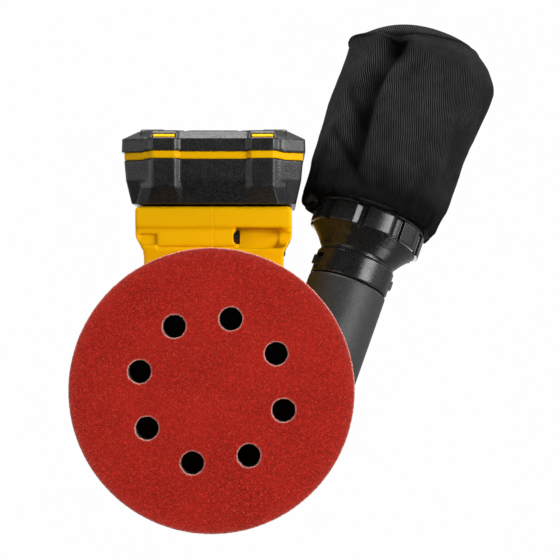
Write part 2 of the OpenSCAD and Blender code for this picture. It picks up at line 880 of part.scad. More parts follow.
module plug_shape(gap, proud) {
    for (x = [-pillar_x, pillar_x])
        translate([x, 111.1, 24.1]) rotate([plug_angle, 0, 0]) translate([-4.8 - gap, -0.85 - gap, -2 - proud])
            cube([9.6 + 2 * gap, 1.7 + 2 * gap, 4]);
}

module pack_lower_case() {
    color("#2a2a2c") difference() {
        union() {
            pack_shape(lower_levels, [[band_y1, 23.4, 139.6, 0], [110.3, 23.6, 139.4, 0],
                                      [pack_base_y, 28, 135, 0]]);
            for (side = [-1, 1]) box([side < 0 ? -33 : 22, 113, 34], [side < 0 ? -22 : 33, 115, 129]);
        }
        difference() {
            pack_room();
            for (p = pack_screw_at) along_y(pack_boss_r, band_y0, 113, p[0], p[1]);
        }
        for (p = pack_screw_at) {
            along_y(1.3, 100, 116, p[0], p[1]);
            along_y(2.4 - e, 111.2, 116, p[0], p[1]);
        }
        plug_shape(0, 0);
    }
}

module pack_plugs() {
    color("gold") intersection() {
        plug_shape(0, 0);
        loft_y([for (l = [[100, 21.65], [110.3, 21.65], [pack_base_y, 26.05]])
            [l[0], [[-34, l[1]], [34, l[1]], [34, 60], [-34, 60]]]]);
    }
}

module pack_screws() {
    color("#202020") for (p = pack_screw_at) {
        difference() {
            along_y(2.2, 111.2, 113, p[0], p[1]);
            translate([p[0], 112, p[1]]) rotate([-90, 0, 0]) cylinder(r = 1.1, h = 3, $fn = 6);
        }
        along_y(1.1, 90, 111.2 + e, p[0], p[1]);
    }
}

cell_z = [for (i = [0:4]) 42.4 + 19 * i];
cell_y = 100.2;

module pack_cells() {
    color("steelblue") for (z = cell_z) {
        along_x(cell_r, -32, 32, cell_y, z);
        along_x(3.2, 32 - e, 32.6, cell_y, z);
    }
}

module cell_frame() {
    color("#e8e8e8") difference() {
        for (side = [-1, 1])
            box([side < 0 ? -30 : 20.5, 89.8, 33], [side < 0 ? -20.5 : 30, 110.8, 128.2]);
        for (z = cell_z) along_x(cell_r + 0.1, -40, 40, cell_y, z);
    }
}

module cell_straps() {
    color("silver") {
        for (i = [0, 2]) box([32.6, 96, cell_z[i] - 5], [32.9, 104, cell_z[i + 1] + 5]);
        box([32.6, 96, cell_z[4] - 5], [32.9, 104, cell_z[4] + 5]);
        for (i = [1, 3]) box([-32.3, 96, cell_z[i] - 5], [-32, 104, cell_z[i + 1] + 5]);
        box([-32.3, 96, cell_z[0] - 5], [-32, 104, cell_z[0] + 5]);
    }
}

module pack_board() {
    color("green") box([-20, 86.2, 40], [20, 87.8, 114]);
    color("black") for (z = [52:14:108]) box([-9, 84.6, z], [9, 86.2, z + 7]);
}

module pack_contacts() {
    color("goldenrod") for (x = blade_x) difference() {
        box([x - 0.95, 70.4, 47], [x + 0.95, 75.2, 69]);
        box([x - 0.6, 70, 46], [x + 0.6, 76, 65]);
    }
}

module latch_button() {
    color("#1c1c1c") difference() {
        union() {
            box([-12.1, 84.4, 129.2], [12.1, 94, 139.8]);
            box([-9.6, 85.6, 139.8 - e], [9.6, 93, 141]);
            box([-8.1, 70, 119], [8.1, 87, 128.6]);
            box([-8.1, 84.4, 128.6 - e], [8.1, 87, 129.2 + e]);
            rotate([90, 0, 90]) translate([0, 0, -8.1]) linear_extrude(height = 16.2)
                polygon([[70 + e, 118.9], [70 + e, 124], [67.3, 124], [67.3, 122]]);
        }
        along_y(4, 89, 95, 0, 134.6);
    }
}

module latch_spring() {
    coil_r = 3.1;
    turns = 4.5;
    y0 = 89.6;
    y1 = 100;
    steps = 16;
    color("silver") wire([for (i = [0:turns * steps]) let (a = 360 * i / steps)
        [coil_r * cos(a), y0 + (y1 - y0) * i / (turns * steps), 134.6 + coil_r * sin(a)]], 0.4);
}

// ---------------------------------------------------------------- dust bag

module bag_neck() {
    color("#3a3b3d") at_port() difference() {
        union() {
            translate([0, 0, 15.3]) cylinder(r = 16, h = 28);
            translate([0, 0, 17]) cylinder(r = 17.2, h = 1.6);
            translate([0, 0, collar_rim + 0.3]) cylinder(r = 25, h = bag_z0 - collar_rim - 0.3);
        }
        translate([0, 0, 10]) cylinder(r = bore_r, h = 40);
    }
}

module bag_frame() {
    color("#3a3b3d") at_port() {
        translate([0, 0, bag_z0 + bag_wall]) ring(23.2, 16, 2);
        translate([0, 0, 112]) ring(24.8, 22.4, 1.8);
        for (i = [0:3]) rotate([0, 0, 45 + 90 * i]) translate([23.6, 0, bag_z0 + bag_wall + 1])
            cylinder(r = 1.1, h = 112.5 - bag_z0 - bag_wall - 1);
    }
}

bag_wall = 1.4;

// Share of the bag's full section at a share t of its length
function bag_fill(t) = pow(sin(90 * min(1, t * 7 + 0.62, (1 - t) * 6 + 0.34)), 0.6);

// Half width and half height of the bag at a share t of its length
function bag_half(t) = [33.2 + 2.2 * t, 28 + 1.2 * t] * bag_fill(t);

function bag_section(size, z, n) = [for (i = [0:n - 1]) let (a = 360 * i / n)
    [size[0] * sign(cos(a)) * pow(abs(cos(a)), 0.8),
     size[1] * sign(sin(a)) * pow(abs(sin(a)), 0.8), z]];

module bag_solid(inset, z0, z1) {
    shares = [0, 0.02, 0.054, 0.2, 0.4, 0.6, 0.8, 0.89, 0.92, 0.95, 0.98, 1];
    m = len(shares);
    n = 40;
    rings = [for (t = shares)
        bag_section(bag_half(t) - [inset, inset], z0 + (z1 - z0) * t, n)];
    points = [for (r = rings, p = r) p];
    sides = [for (k = [0:m - 2], i = [0:n - 1])
        [k * n + i, (k + 1) * n + i, (k + 1) * n + (i + 1) % n, k * n + (i + 1) % n]];
    polyhedron(points, concat([[for (i = [0:n - 1]) i]], sides,
                              [[for (i = [n - 1:-1:0]) (m - 1) * n + i]]), convexity = 4);
}

module dust_bag() {
    color("#161616") at_port() difference() {
        bag_solid(0, bag_z0, bag_z0 + bag_len);
        bag_solid(bag_wall, bag_z0 + bag_wall, bag_z0 + bag_len - bag_wall);
        translate([0, 0, bag_z0 - 5]) cylinder(r = 16.1, h = 10);
    }
}

lobes = 9;
lobe_slot = 3.5;

module collar_lobes() {
    difference() {
        cylinder(r = 26, h = 9.6);
        for (i = [0:lobes - 1]) rotate([0, 0, 39.5 + i * 360 / lobes])
            box([24.2, -lobe_slot / 2, -1], [28, lobe_slot / 2, 12]);
    }
}

module lock_collar() {
    color("#333436") at_port() difference() {
        union() {
            translate([0, 0, 0.4]) cylinder(r = port_r, h = 11.4);
            translate([0, 0, 11.6]) cylinder(r1 = 18.6, r2 = 24.6, h = collar_lobe_z - 11.5);
            translate([0, 0, collar_lobe_z]) collar_lobes();
        }
        translate([0, 0, -1]) cylinder(r = spigot_r + 0.2, h = 16.2);
        translate([0, 0, 15]) cylinder(r = 16.08, h = 3);
        translate([0, 0, 16.8]) cylinder(r1 = 17.4, r2 = 22.6, h = 10);
        translate([0, 0, 26.7]) cylinder(r = 23.4, h = 10);
        for (a = [0, 180]) rotate([0, 0, a]) {
            box([spigot_r - 2, -2.3, 0], [24, 2.3, 9.4]);
            translate([0, 0, 4.6]) rotate_extrude(angle = 32.4)
                polygon([[13.6, 0], [24, 0], [24, 4.8], [13.6, 4.8]]);
        }
    }
}

// ---------------------------------------------------------------- parts

housing_left();
housing_right();
palm_grip();
side_strips();
dust_shroud();
shroud_screws();
housing_screws();
dust_port();
port_screws();
pad_brake_ring();
bearing_plate();
lower_bearing();
upper_bearing();
bearing_boot();
stator_core();
stator_coils();
sensor_board();
controller_board();
controller_parts();
terminal_block();
terminal_blades();
wiring();
switch_bezel();
switch_module();
dial_sensor();
motor_shaft();
rotor_core();
rotor_magnets();
cooling_fan();
counterweight_fan();
lower_bearing_inner();
upper_bearing_inner();
pad_bearing();
pad_bearing_clip();
pad_bearing_inner();
pad_spindle();
backing_plate();
foam_pad();
hook_layer();
abrasive_disc();
pad_screw();
pad_washer();
pack_upper_case();
pack_band();
pack_lower_case();
pack_plugs();
pack_screws();
pack_cells();
cell_frame();
cell_straps();
pack_board();
pack_contacts();
latch_button();
latch_spring();
switch_rocker();
speed_dial();
bag_neck();
bag_frame();
dust_bag();
lock_collar();
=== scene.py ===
"""The looks of a cordless random orbit sander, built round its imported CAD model.

Lengths inside the shape functions are millimetres in the CAD's frame: +Z up, the abrasive
face on z = 0, the motor axis on Z, the battery at +Y and the dust bag towards -X +Y.
"""

import functools
import math

import bmesh
import bpy
import numpy as np
from mathutils import Euler, Matrix, Vector
from numpy import clip, hypot, maximum, minimum


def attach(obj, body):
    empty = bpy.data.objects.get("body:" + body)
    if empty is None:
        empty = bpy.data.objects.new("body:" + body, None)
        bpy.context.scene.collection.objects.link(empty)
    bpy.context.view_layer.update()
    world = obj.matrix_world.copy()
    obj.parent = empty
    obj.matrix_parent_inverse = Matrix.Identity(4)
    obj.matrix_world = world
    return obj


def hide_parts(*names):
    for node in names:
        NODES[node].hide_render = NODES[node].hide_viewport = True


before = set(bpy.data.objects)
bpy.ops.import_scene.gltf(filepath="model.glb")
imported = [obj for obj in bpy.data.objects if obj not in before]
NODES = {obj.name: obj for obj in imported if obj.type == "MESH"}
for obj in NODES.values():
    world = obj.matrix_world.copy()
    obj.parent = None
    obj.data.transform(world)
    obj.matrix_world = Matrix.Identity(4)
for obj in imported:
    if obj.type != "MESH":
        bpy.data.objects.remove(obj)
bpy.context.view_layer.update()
MM = 0.001

# ---- the CAD's own dimensions

PORT_JOINT = np.array([-60.5, 44.1, 46.5])
PORT_TURN, PORT_TILT = math.radians(20), math.radians(13)
SWITCH_AT = np.array([0.0, -44.6, 121.0])
SWITCH_TILT = math.radians(78)
PAD_AXIS_Y = -1.2
WIDE_Z, SHELL_TOP, GRIP_TOP = 112, 143.4, 146.2
PACK_FACE_Y, BAND_Y0, BAND_Y1, PACK_BASE_Y = 81.2, 101.2, 104.6, 114.2
DISC_R, HOLE_PCD, HOLE_R, HOLE_PHASE = 62.5, 65.0, 5.0, math.radians(15)
SCREWS = [(-31.5, 57.0), (-31.5, 97.0), (66.4, 34.6), (56.0, 49.0), (38.2, 117.4)]
PILLAR_X = 22.0


def rotation(*turns):
    """The product of rotations given as (axis, angle), first one outermost, as a 3x3 array."""
    m = Matrix.Identity(3)
    for axis, angle in turns:
        m = m @ Matrix.Rotation(angle, 3, axis)
    return np.array(m)


PORT_R = rotation(("Z", PORT_TURN), ("X", PORT_TILT - math.pi / 2))
SWITCH_R = rotation(("X", SWITCH_TILT))

# ---- signed distances


def smin(a, b, k):
    """The smaller of two fields, with the corner between them filled over about k."""
    h = clip(0.5 + 0.5 * (b - a) / k, 0, 1)
    return b + (a - b) * h - k * h * (1 - h)


def smax(a, b, k):
    """The larger of two fields, with the edge between them rounded over about k."""
    return -smin(-a, -b, k)


def cut(a, b, k=0.4):
    """Field a with field b taken away."""
    return -smin(-a, b, k)


def box_field(x, y, z, lo, hi, r=0.0):
    """A box with rounded edges, from its low corner to its high one."""
    half = [(h - l) / 2 for l, h in zip(lo, hi)]
    q = [abs(v - (h + l) / 2) - s + r for v, l, h, s in zip((x, y, z), lo, hi, half)]
    inside = minimum(maximum(maximum(q[0], q[1]), q[2]), 0)
    outside = np.sqrt(sum(maximum(v, 0) ** 2 for v in q))
    return inside + outside - r


def boxes_field(x, y, z, boxes):
    """Several boxes as one field, each given as (low corner, high corner, edge radius)."""
    return functools.reduce(minimum, [box_field(x, y, z, *box) for box in boxes])


def rect_field(u, v, lo, hi, r):
    """A rectangle with rounded corners, in any plane."""
    a = abs(u - (lo[0] + hi[0]) / 2) - (hi[0] - lo[0]) / 2 + r
    b = abs(v - (lo[1] + hi[1]) / 2) - (hi[1] - lo[1]) / 2 + r
    return minimum(maximum(a, b), 0) + hypot(maximum(a, 0), maximum(b, 0)) - r


def slab(v, lo, hi):
    """The space between two parallel planes."""
    return maximum(lo - v, v - hi)


class Profile:
    """The signed distance to a closed polygon in the plane, kept on a fine grid and softened a little."""

    def __init__(self, points, soften=0.5, step=0.4, margin=14.0):
        p = np.array(points, float)
        self.step = step
        self.lo = p.min(0) - margin
        n = np.ceil((p.max(0) + margin - self.lo) / step).astype(int) + 1
        u = self.lo[0] + step * np.arange(n[0])[:, None]
        v = self.lo[1] + step * np.arange(n[1])[None, :]
        best = np.full(n, 1e9)
        odd = np.zeros(n, bool)
        for a, b in zip(p, np.roll(p, -1, 0)):
            e = b - a
            length = max(float(e @ e), 1e-12)
            t = clip(((u - a[0]) * e[0] + (v - a[1]) * e[1]) / length, 0, 1)
            best = minimum(best, (u - a[0] - t * e[0]) ** 2 + (v - a[1] - t * e[1]) ** 2)
            if a[1] != b[1]:
                crosses = (a[1] > v) != (b[1] > v)
                at = a[0] + (v - a[1]) / (b[1] - a[1]) * e[0]
                odd ^= crosses & (u < at)
        d = np.sqrt(best) * np.where(odd, -1, 1)
        if soften:
            k = int(3 * soften / step) + 1
            w = np.exp(-0.5 * (np.arange(-k, k + 1) * step / soften) ** 2)
            w /= w.sum()
            for axis in (0, 1):
                pad = np.pad(d, [(k, k) if i == axis else (0, 0) for i in (0, 1)], "edge")
                d = sum(
                    w[i] * np.take(pad, np.arange(i, i + d.shape[axis]), axis)
                    for i in range(2 * k + 1)
                )
        self.d = d.astype(np.float32)

    def __call__(self, u, v):
        a = clip((u - self.lo[0]) / self.step, 0, self.d.shape[0] - 1.001)
        b = clip((v - self.lo[1]) / self.step, 0, self.d.shape[1] - 1.001)
        i, j = a.astype(np.int32), b.astype(np.int32)
        a, b = a - i, b - j
        d = self.d
        low = d[i, j] * (1 - a) + d[i + 1, j] * a
        high = d[i, j + 1] * (1 - a) + d[i + 1, j + 1] * a
        return low * (1 - b) + high * b


def dome(r, z_wide, z_top):
    """The grip's quarter profile, from its widest radius to its top."""
    a = np.radians(np.arange(0, 90.1, 2.5))
    rr = r * np.cos(a).clip(0) ** 0.62
    return list(zip(rr, z_wide + (z_top - z_wide) * np.sin(a) ** 0.82))


# ---- meshes

CORNERS = [(i, j, k) for i in (0, 1) for j in (0, 1) for k in (0, 1)]
EDGES = [
    (a, b)
    for a in CORNERS
    for b in CORNERS
    if sum(b) == sum(a) + 1 and all(q >= p for p, q in zip(a, b))
]


def surface(field, lo, hi, step, rounds=3):
    """The zero surface of field(x, y, z) in a box, as quads whose corners lie on it."""
    step = np.broadcast_to(np.array(step, float), 3)
    lo, hi = np.array(lo, float), np.array(hi, float)
    n = np.ceil((hi - lo) / step).astype(int) + 1
    axes = [lo[i] + step[i] * np.arange(n[i]) for i in range(3)]
    v = np.empty(n, np.float32)
    for i in range(0, n[0], 16):
        v[i : i + 16] = field(
            axes[0][i : i + 16, None, None], axes[1][None, :, None], axes[2][None, None, :]
        )
    # one point for each cell that the surface crosses: the mean of its edges' crossings
    inside = v < 0
    count = np.zeros(n - 1, np.int8)
    for a, b, c in CORNERS:
        count += inside[a : n[0] - 1 + a, b : n[1] - 1 + b, c : n[2] - 1 + c]
    active = (count > 0) & (count < 8)
    cells = np.argwhere(active)
    index = np.full(n - 1, -1, np.int64)
    index[active] = np.arange(len(cells))
    total, hits = np.zeros((len(cells), 3)), np.zeros(len(cells))
    for a, b in EDGES:
        va = v[tuple((cells + a).T)].astype(float)
        vb = v[tuple((cells + b).T)].astype(float)
        crosses = (va < 0) != (vb < 0)
        t = va[crosses] / (va[crosses] - vb[crosses])
        total[crosses] += np.array(a) + t[:, None] * (np.array(b) - np.array(a))
        hits[crosses] += 1
    points = lo + (cells + total / hits[:, None]) * step
    # one quad for each grid edge that the surface crosses, through the four cells round it
    quads = []
    for axis in range(3):
        p, q = [(1, 2), (2, 0), (0, 1)][axis]
        first = [slice(None)] * 3
        second = [slice(None)] * 3
        first[axis], second[axis] = slice(0, -1), slice(1, None)
        a, b = inside[tuple(first)], inside[tuple(second)]
        at = np.argwhere(a != b)
        keep = (at[:, p] > 0) & (at[:, q] > 0) & (at[:, p] < n[p] - 1) & (at[:, q] < n[q] - 1)
        at = at[keep]
        out = a[tuple(at.T)]
        corner = []
        for dp, dq in ((1, 1), (0, 1), (0, 0), (1, 0)):
            c = at.copy()
            c[:, p] -= dp
            c[:, q] -= dq
            corner.append(index[tuple(c.T)])
        quad = np.stack(corner, 1)
        quads.append(np.where(out[:, None], quad, quad[:, ::-1]))
    # a few Newton steps bring the points onto the surface
    reach = 0.35 * step
    for _ in range(rounds):
        grad = np.zeros_like(points)
        for axis in range(3):
            d = np.zeros(3)
            d[axis] = reach[axis]
            grad[:, axis] = (field(*(points + d).T) - field(*(points - d).T)) / (2 * reach[axis])
        size = maximum((grad**2).sum(1), 0.05)
        move = grad * (field(*points.T) / size)[:, None]
        points = points - clip(move, -0.6 * step, 0.6 * step)
    return points, np.concatenate(quads)


def new_object(name, data):
    obj = bpy.data.objects.new(name, data)
    bpy.context.scene.collection.objects.link(obj)
    return obj


def mesh_object(name, points, faces, material=None, smooth=True):
    """A mesh object from points in millimetres and faces of equal size, or a list of faces."""
    me = bpy.data.meshes.new(name)
    if isinstance(faces, np.ndarray):
        me.vertices.add(len(points))
        me.vertices.foreach_set("co", (np.asarray(points) * MM).astype(np.float32).ravel())
        me.loops.add(faces.size)
        me.loops.foreach_set("vertex_index", faces.astype(np.int32).ravel())
        me.polygons.add(len(faces))
        me.polygons.foreach_set("loop_start", np.arange(0, faces.size, faces.shape[1], dtype=np.int32))
        me.update(calc_edges=True)
        me.validate()
    else:
        me.from_pydata((np.asarray(points) * MM).tolist(), [], faces)
    me.polygons.foreach_set("use_smooth", [smooth] * len(me.polygons))
    if material:
        me.materials.append(material)
    return new_object(name, me)


def point_values(obj, name, values):
    """Numbers on a mesh's points, for its material to read."""
    attribute = obj.data.attributes.new(name, "FLOAT", "POINT")
    attribute.data.foreach_set("value", values.astype(np.float32))


def finish_piece(obj, body, node):
    """Tie a piece to its body, in place of a CAD node, which is hidden."""
    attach(obj, body)
    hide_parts(node)


def place(points, turn, origin):
    """Points from a local frame to the CAD's."""
    return np.asarray(points) @ turn.T + origin


def local(x, y, z, turn, origin):
    """Coordinates in a local frame of points in the CAD's."""
    x, y, z = x - origin[0], y - origin[1], z - origin[2]
    return tuple(x * turn[0, i] + y * turn[1, i] + z * turn[2, i] for i in range(3))


def split_at_x0(points, faces, side, gap=0.035):
    """The part of a closed mesh on one side of x = 0, closed along the cut."""
    me = bpy.data.meshes.new("split")
    me.from_pydata(points.tolist(), [], faces.tolist())
    bm = bmesh.new()
    bm.from_mesh(me)
    geom = list(bm.verts) + list(bm.edges) + list(bm.faces)
    out = bmesh.ops.bisect_plane(
        bm, geom=geom, dist=1e-5, plane_co=(side * gap, 0, 0), plane_no=(side, 0, 0), clear_inner=True
    )
    rim = [g for g in out["geom_cut"] if isinstance(g, bmesh.types.BMEdge) and g.is_boundary]
    if rim:
        filled = bmesh.ops.triangle_fill(bm, use_beauty=True, use_dissolve=False, edges=rim)
        for g in filled["geom"]:
            if isinstance(g, bmesh.types.BMFace):
                g.smooth = False
    bmesh.ops.recalc_face_normals(bm, faces=bm.faces)
    return bm, me


# ---- materials


class Nodes:
    """A short way to write the nodes of a material or a world."""

    def __init__(self, name, kind="materials"):
        self.owner = getattr(bpy.data, kind).new(name)
        self.owner.use_nodes = True
        self.tree = self.owner.node_tree

    def feed(self, socket, value):
        """Link an output to a socket, or set a number, a list or a colour on it."""
        if isinstance(value, bpy.types.NodeSocket):
            self.tree.links.new(value, socket)
        else:
            socket.default_value = (*value, 1) if isinstance(value, tuple) else value

    def add(self, kind, output, *inputs, settings={}, **named):
        """Add a node and return one output. Named inputs have _ for a space."""
        node = self.tree.nodes.new("ShaderNode" + kind)
        for key, value in settings.items():
            setattr(node, key, value)
        for key, value in enumerate(inputs):
            self.feed(node.inputs[key], value)
        for key, value in named.items():
            self.feed(node.inputs[key.replace("_", " ")], value)
        return node.outputs[output]

    def coords(self, scale=(1, 1, 1), uv=False):
        """Object coordinates in millimetres, or the UV map, scaled."""
        source = self.add("TexCoord", "UV" if uv else "Object")
        k = 1 if uv else 1000
        return self.add("Mapping", "Vector", Vector=source, Scale=[k * v for v in scale])

    def noise(self, vector, size, detail=3.0, rough=0.55):
        return self.add(
            "TexNoise", "Fac", Vector=vector, Scale=1 / size, Detail=detail, Roughness=rough
        )

    def spots(self, vector, size, feature="F1", output="Distance"):
        return self.add("TexVoronoi", output, settings={"feature": feature}, Vector=vector, Scale=1 / size)

    def remap(self, value, a, b, c, d, **settings):
        return self.add(
            "MapRange", "Result", settings=settings, Value=value, From_Min=a, From_Max=b, To_Min=c, To_Max=d
        )

    def maths(self, operation, a, *b):
        return self.add("Math", 0, a, *b, settings={"operation": operation})

    def blend(self, fac, a, b):
        mix = self.tree.nodes.new("ShaderNodeMix")
        mix.data_type = "RGBA"
        for key, value in ((0, fac), (6, a), (7, b)):
            self.feed(mix.inputs[key], value)
        return mix.outputs[2]

    def bump(self, height, depth_mm):
        return self.add("Bump", "Normal", Strength=1.0, Distance=depth_mm * MM, Height=height)

    def value(self, attribute):
        """A number kept on the mesh's points."""
        return self.add("Attribute", "Fac", settings={"attribute_name": attribute})

    def out(self, colour, rough, normal=None, **sockets):
        """Finish the material. Further sockets are named with _ for a space."""
        sockets.update(Base_Color=colour, Roughness=rough)
        if normal:
            sockets["Normal"] = normal
        for key, value in sockets.items():
            self.feed(self.tree.nodes["Principled BSDF"].inputs[key.replace("_", " ")], value)
        return self.owner


def scaled(colour, k):
    return tuple(min(1.0, c * k) for c in colour)


def plastic(name, colour, rough, grain, depth, mottle, edge=0.0, speckle=0.0, specular=0.5):
    """Moulded plastic: a spark-eroded grain (size and depth in mm), cloudiness, edges lightened as a
    painted highlight with some wear, and specks.
    """
    m = Nodes(name)
    v = m.coords()
    cloud = m.noise(v, 14, 4)
    fine = m.noise(v, grain * 1.7, 2, 0.6)
    pits = m.spots(v, grain, "SMOOTH_F1")
    shade = m.maths("ADD", m.maths("MULTIPLY", cloud, 0.7), m.maths("MULTIPLY", fine, 0.3))
    col = m.blend(shade, scaled(colour, 1 - mottle), scaled(colour, 1 + mottle))
    if speckle:
        specks = m.remap(m.noise(v, grain * 1.3, 3, 0.7), 0.42, 0.60, 0, 1)
        col = m.blend(specks, scaled(colour, 1 - speckle), scaled(colour, 1 + speckle))
    if edge:
        # painted highlight: sharp edges lighten towards five times the colour, partly standing for edge
        # wear
        wear_and_highlight = m.remap(m.add("NewGeometry", "Pointiness"), 0.52, 0.60, 0.0, edge)
        col = m.blend(wear_and_highlight, col, scaled(colour, 5))
    r = m.remap(m.noise(v, 5, 3), 0.3, 0.7, rough - 0.04, rough + 0.05)
    height = m.maths("ADD", m.maths("MULTIPLY", pits, 0.6), fine)
    return m.out(col, r, m.bump(height, depth), Specular_IOR_Level=specular)


def metal(name, colour, rough=0.3, streak=(1, 1, 1), depth=0.004):
    """Bare metal with fine scratches, closer together along an axis whose streak is large."""
    m = Nodes(name)
    v = m.coords(streak)
    lines = m.noise(v, 0.6, 4, 0.6)
    cloud = m.noise(m.coords(), 6, 3)
    col = m.blend(cloud, scaled(colour, 0.8), scaled(colour, 1.1))
    r = m.remap(lines, 0.3, 0.7, rough - 0.06, rough + 0.1)
    return m.out(col, r, m.bump(lines, depth), Metallic=1.0)


YELLOW = (0.715, 0.375, 0.0003)

# each plastic's colour, roughness, grain size and depth, mottle, edge (a painted highlight with some wear),
# speckle and specular level
MATS = {
    "yellow": plastic("yellow_plastic", YELLOW, 0.5, 0.3, 0.006, 0.03, specular=0.04),
    "case": plastic("pack_plastic", (0.0085, 0.0085, 0.0088), 0.38, 0.5, 0.07, 0.3, 0.7, 0.97, 0.36),
    "port": plastic("port_plastic", (0.022, 0.022, 0.0225), 0.5, 0.45, 0.05, 0.15, 0.4, 0.4, 0.3),
    "collar": plastic("collar_plastic", (0.0095, 0.0095, 0.0098), 0.24, 0.4, 0.02, 0.2, 0.5, 0.7, 0.26),
    "dark": plastic("dark_plastic", (0.013, 0.013, 0.0135), 0.40, 0.3, 0.01, 0.12, specular=0.4),
    "gloss": plastic("gloss_dark_plastic", (0.013, 0.013, 0.013), 0.22, 0.4, 0.004, 0.1),
    "rubber": plastic("grip_rubber", (0.020, 0.020, 0.021), 0.62, 0.4, 0.05, 0.14),
    "white": plastic("natural_plastic", (0.72, 0.72, 0.68), 0.5, 0.4, 0.01, 0.05),
    "blue": plastic("blue_plastic", (0.03, 0.09, 0.32), 0.4, 0.4, 0.01, 0.08),
    "green": plastic("board_laminate", (0.012, 0.14, 0.045), 0.35, 0.6, 0.01, 0.15),
    "cell": plastic("cell_wrap", (0.06, 0.16, 0.36), 0.3, 0.8, 0.004, 0.05),
    "steel": metal("steel", (0.62, 0.62, 0.62)),
    "black_steel": metal("blackened_steel", (0.05, 0.05, 0.052), 0.35),
    "brass": metal("brass", (0.78, 0.55, 0.22)),
    "copper": metal("copper", (0.72, 0.32, 0.14), 0.34, (1, 1, 6)),
    "magnet": metal("plated_magnet", (0.5, 0.5, 0.52), 0.28),
}


def foam_material():
    """Dark foam with open cells."""
    m = Nodes("foam")
    v = m.coords()
    cells = m.spots(v, 0.55)
    cloud = m.noise(v, 7, 3)
    col = m.blend(cells, (0.012, 0.012, 0.013), (0.040, 0.040, 0.042))
    col = m.blend(m.maths("MULTIPLY", cloud, 0.5), col, (0.03, 0.03, 0.031))
    return m.out(col, 0.9, m.bump(cells, 0.35))


def hook_material():
    """The hooks that hold the abrasive."""
    m = Nodes("hooks")
    v = m.coords()
    hooks = m.spots(v, 0.7)
    col = m.blend(hooks, (0.07, 0.07, 0.075), (0.02, 0.02, 0.022))
    return m.out(col, 0.75, m.bump(hooks, 0.4))


def grit_material():
    """Grit in a red size coat: sharp grains over a slow mottle, and paper that shows at worn edges, with a
    soft pale band along the rim as a painted highlight.
    """
    m = Nodes("red_grit")
    v = m.coords()
    grains = m.spots(v, 0.42, output="Color")
    shade, light, deep = [m.add("SeparateColor", i, grains) for i in range(3)]
    edges = m.spots(v, 0.42)
    fine = m.noise(v, 0.55, 3, 0.7)
    cloud = m.noise(v, 1.5, 4, 0.75)
    wide = m.noise(v, 26, 3, 0.5)
    base = (0.40, 0.0165, 0.0088)
    col = m.blend(shade, scaled(base, 0.4), scaled(base, 1.5))
    col = m.blend(m.remap(cloud, 0.38, 0.62, 0, 0.85), col, scaled(base, 0.55))
    col = m.blend(m.remap(wide, 0.3, 0.75, 0, 0.4), col, scaled(base, 1.22))
    bright = m.remap(light, 0.95, 0.99, 0, 0.3)
    col = m.blend(bright, col, (0.62, 0.12, 0.08))
    dark = m.remap(deep, 0.96, 0.985, 0, 0.55)
    col = m.blend(dark, col, (0.12, 0.008, 0.006))
    # the backing paper shows where the edge and the holes are worn, and a soft pale band along the rim is a
    # painted highlight
    fuzz = m.noise(v, 0.7, 4, 0.7)
    paper = m.maths("MULTIPLY", m.value("wear_and_highlight"), m.remap(fuzz, 0.36, 0.56, 0.12, 1.0))
    col = m.blend(paper, col, (0.62, 0.36, 0.30))
    height = m.maths("ADD", m.maths("MULTIPLY", shade, 0.6), m.maths("ADD", edges, fine))
    rough = m.remap(fine, 0.3, 0.7, 0.55, 0.85)
    return m.out(col, rough, m.bump(height, 0.16), Specular_IOR_Level=0.06)


def twill_material():
    """Black ribbed twill, each rib a twisted yarn, over the cloth's UV map in millimetres."""
    m = Nodes("black_twill")
    rib_pitch, yarn_pitch = 0.83, 0.62
    v = m.coords(uv=True)
    drift = m.remap(m.noise(m.coords(), 18, 3, 0.5), 0.3, 0.7, -1, 1)
    across = m.maths("ADD", m.add("SeparateXYZ", "X", v), m.maths("MULTIPLY", drift, 0.5))
    along = m.add("SeparateXYZ", "Y", v)
    rib_turn = m.maths("MULTIPLY", across, 2 * math.pi / rib_pitch)
    yarn_turn = m.maths("MULTIPLY", along, 2 * math.pi / yarn_pitch)
    rib = m.maths("SINE", rib_turn)
    yarn = m.maths("SINE", m.maths("ADD", yarn_turn, rib_turn))
    streaks = m.add("VectorMath", 0, v, [1.0, 0.16, 1.0], settings={"operation": "MULTIPLY"})
    slub = m.noise(streaks, 0.9, 4, 0.75)
    yarns = m.maths("ADD", m.maths("MULTIPLY", yarn, 0.16), m.maths("MULTIPLY", slub, 0.7))
    height = m.maths("ADD", m.maths("MULTIPLY", rib, 0.62), yarns)
    # painted shade and light: the colour follows the ribs' height, dark in their grooves and pale on their
    # crowns, over random slubs in the yarn
    shade = m.remap(height, 0.28, 1.05, 0, 1)
    col = m.blend(shade, (0.0001, 0.0001, 0.0001), (0.070, 0.070, 0.071))
    cloud = m.noise(m.coords(), 9, 4, 0.6)
    col = m.blend(m.remap(cloud, 0.35, 0.65, 0.0, 0.4), col, (0.003, 0.003, 0.0031))
    # painted shade from the mesh: darker in the folds' hollows and pleats, along the seam, and towards the
    # mouth and the end
    col = m.blend(m.maths("MULTIPLY", m.value("painted_shade"), 0.85), col, (0.0008, 0.0008, 0.0008))
    return m.out(col, 0.75, m.bump(height, 0.5), Specular_IOR_Level=0.06)


MATS["foam"] = foam_material()
MATS["hook"] = hook_material()
MATS["grit"] = grit_material()
MATS["twill"] = twill_material()

# ---- the housing

FINE = 0.75

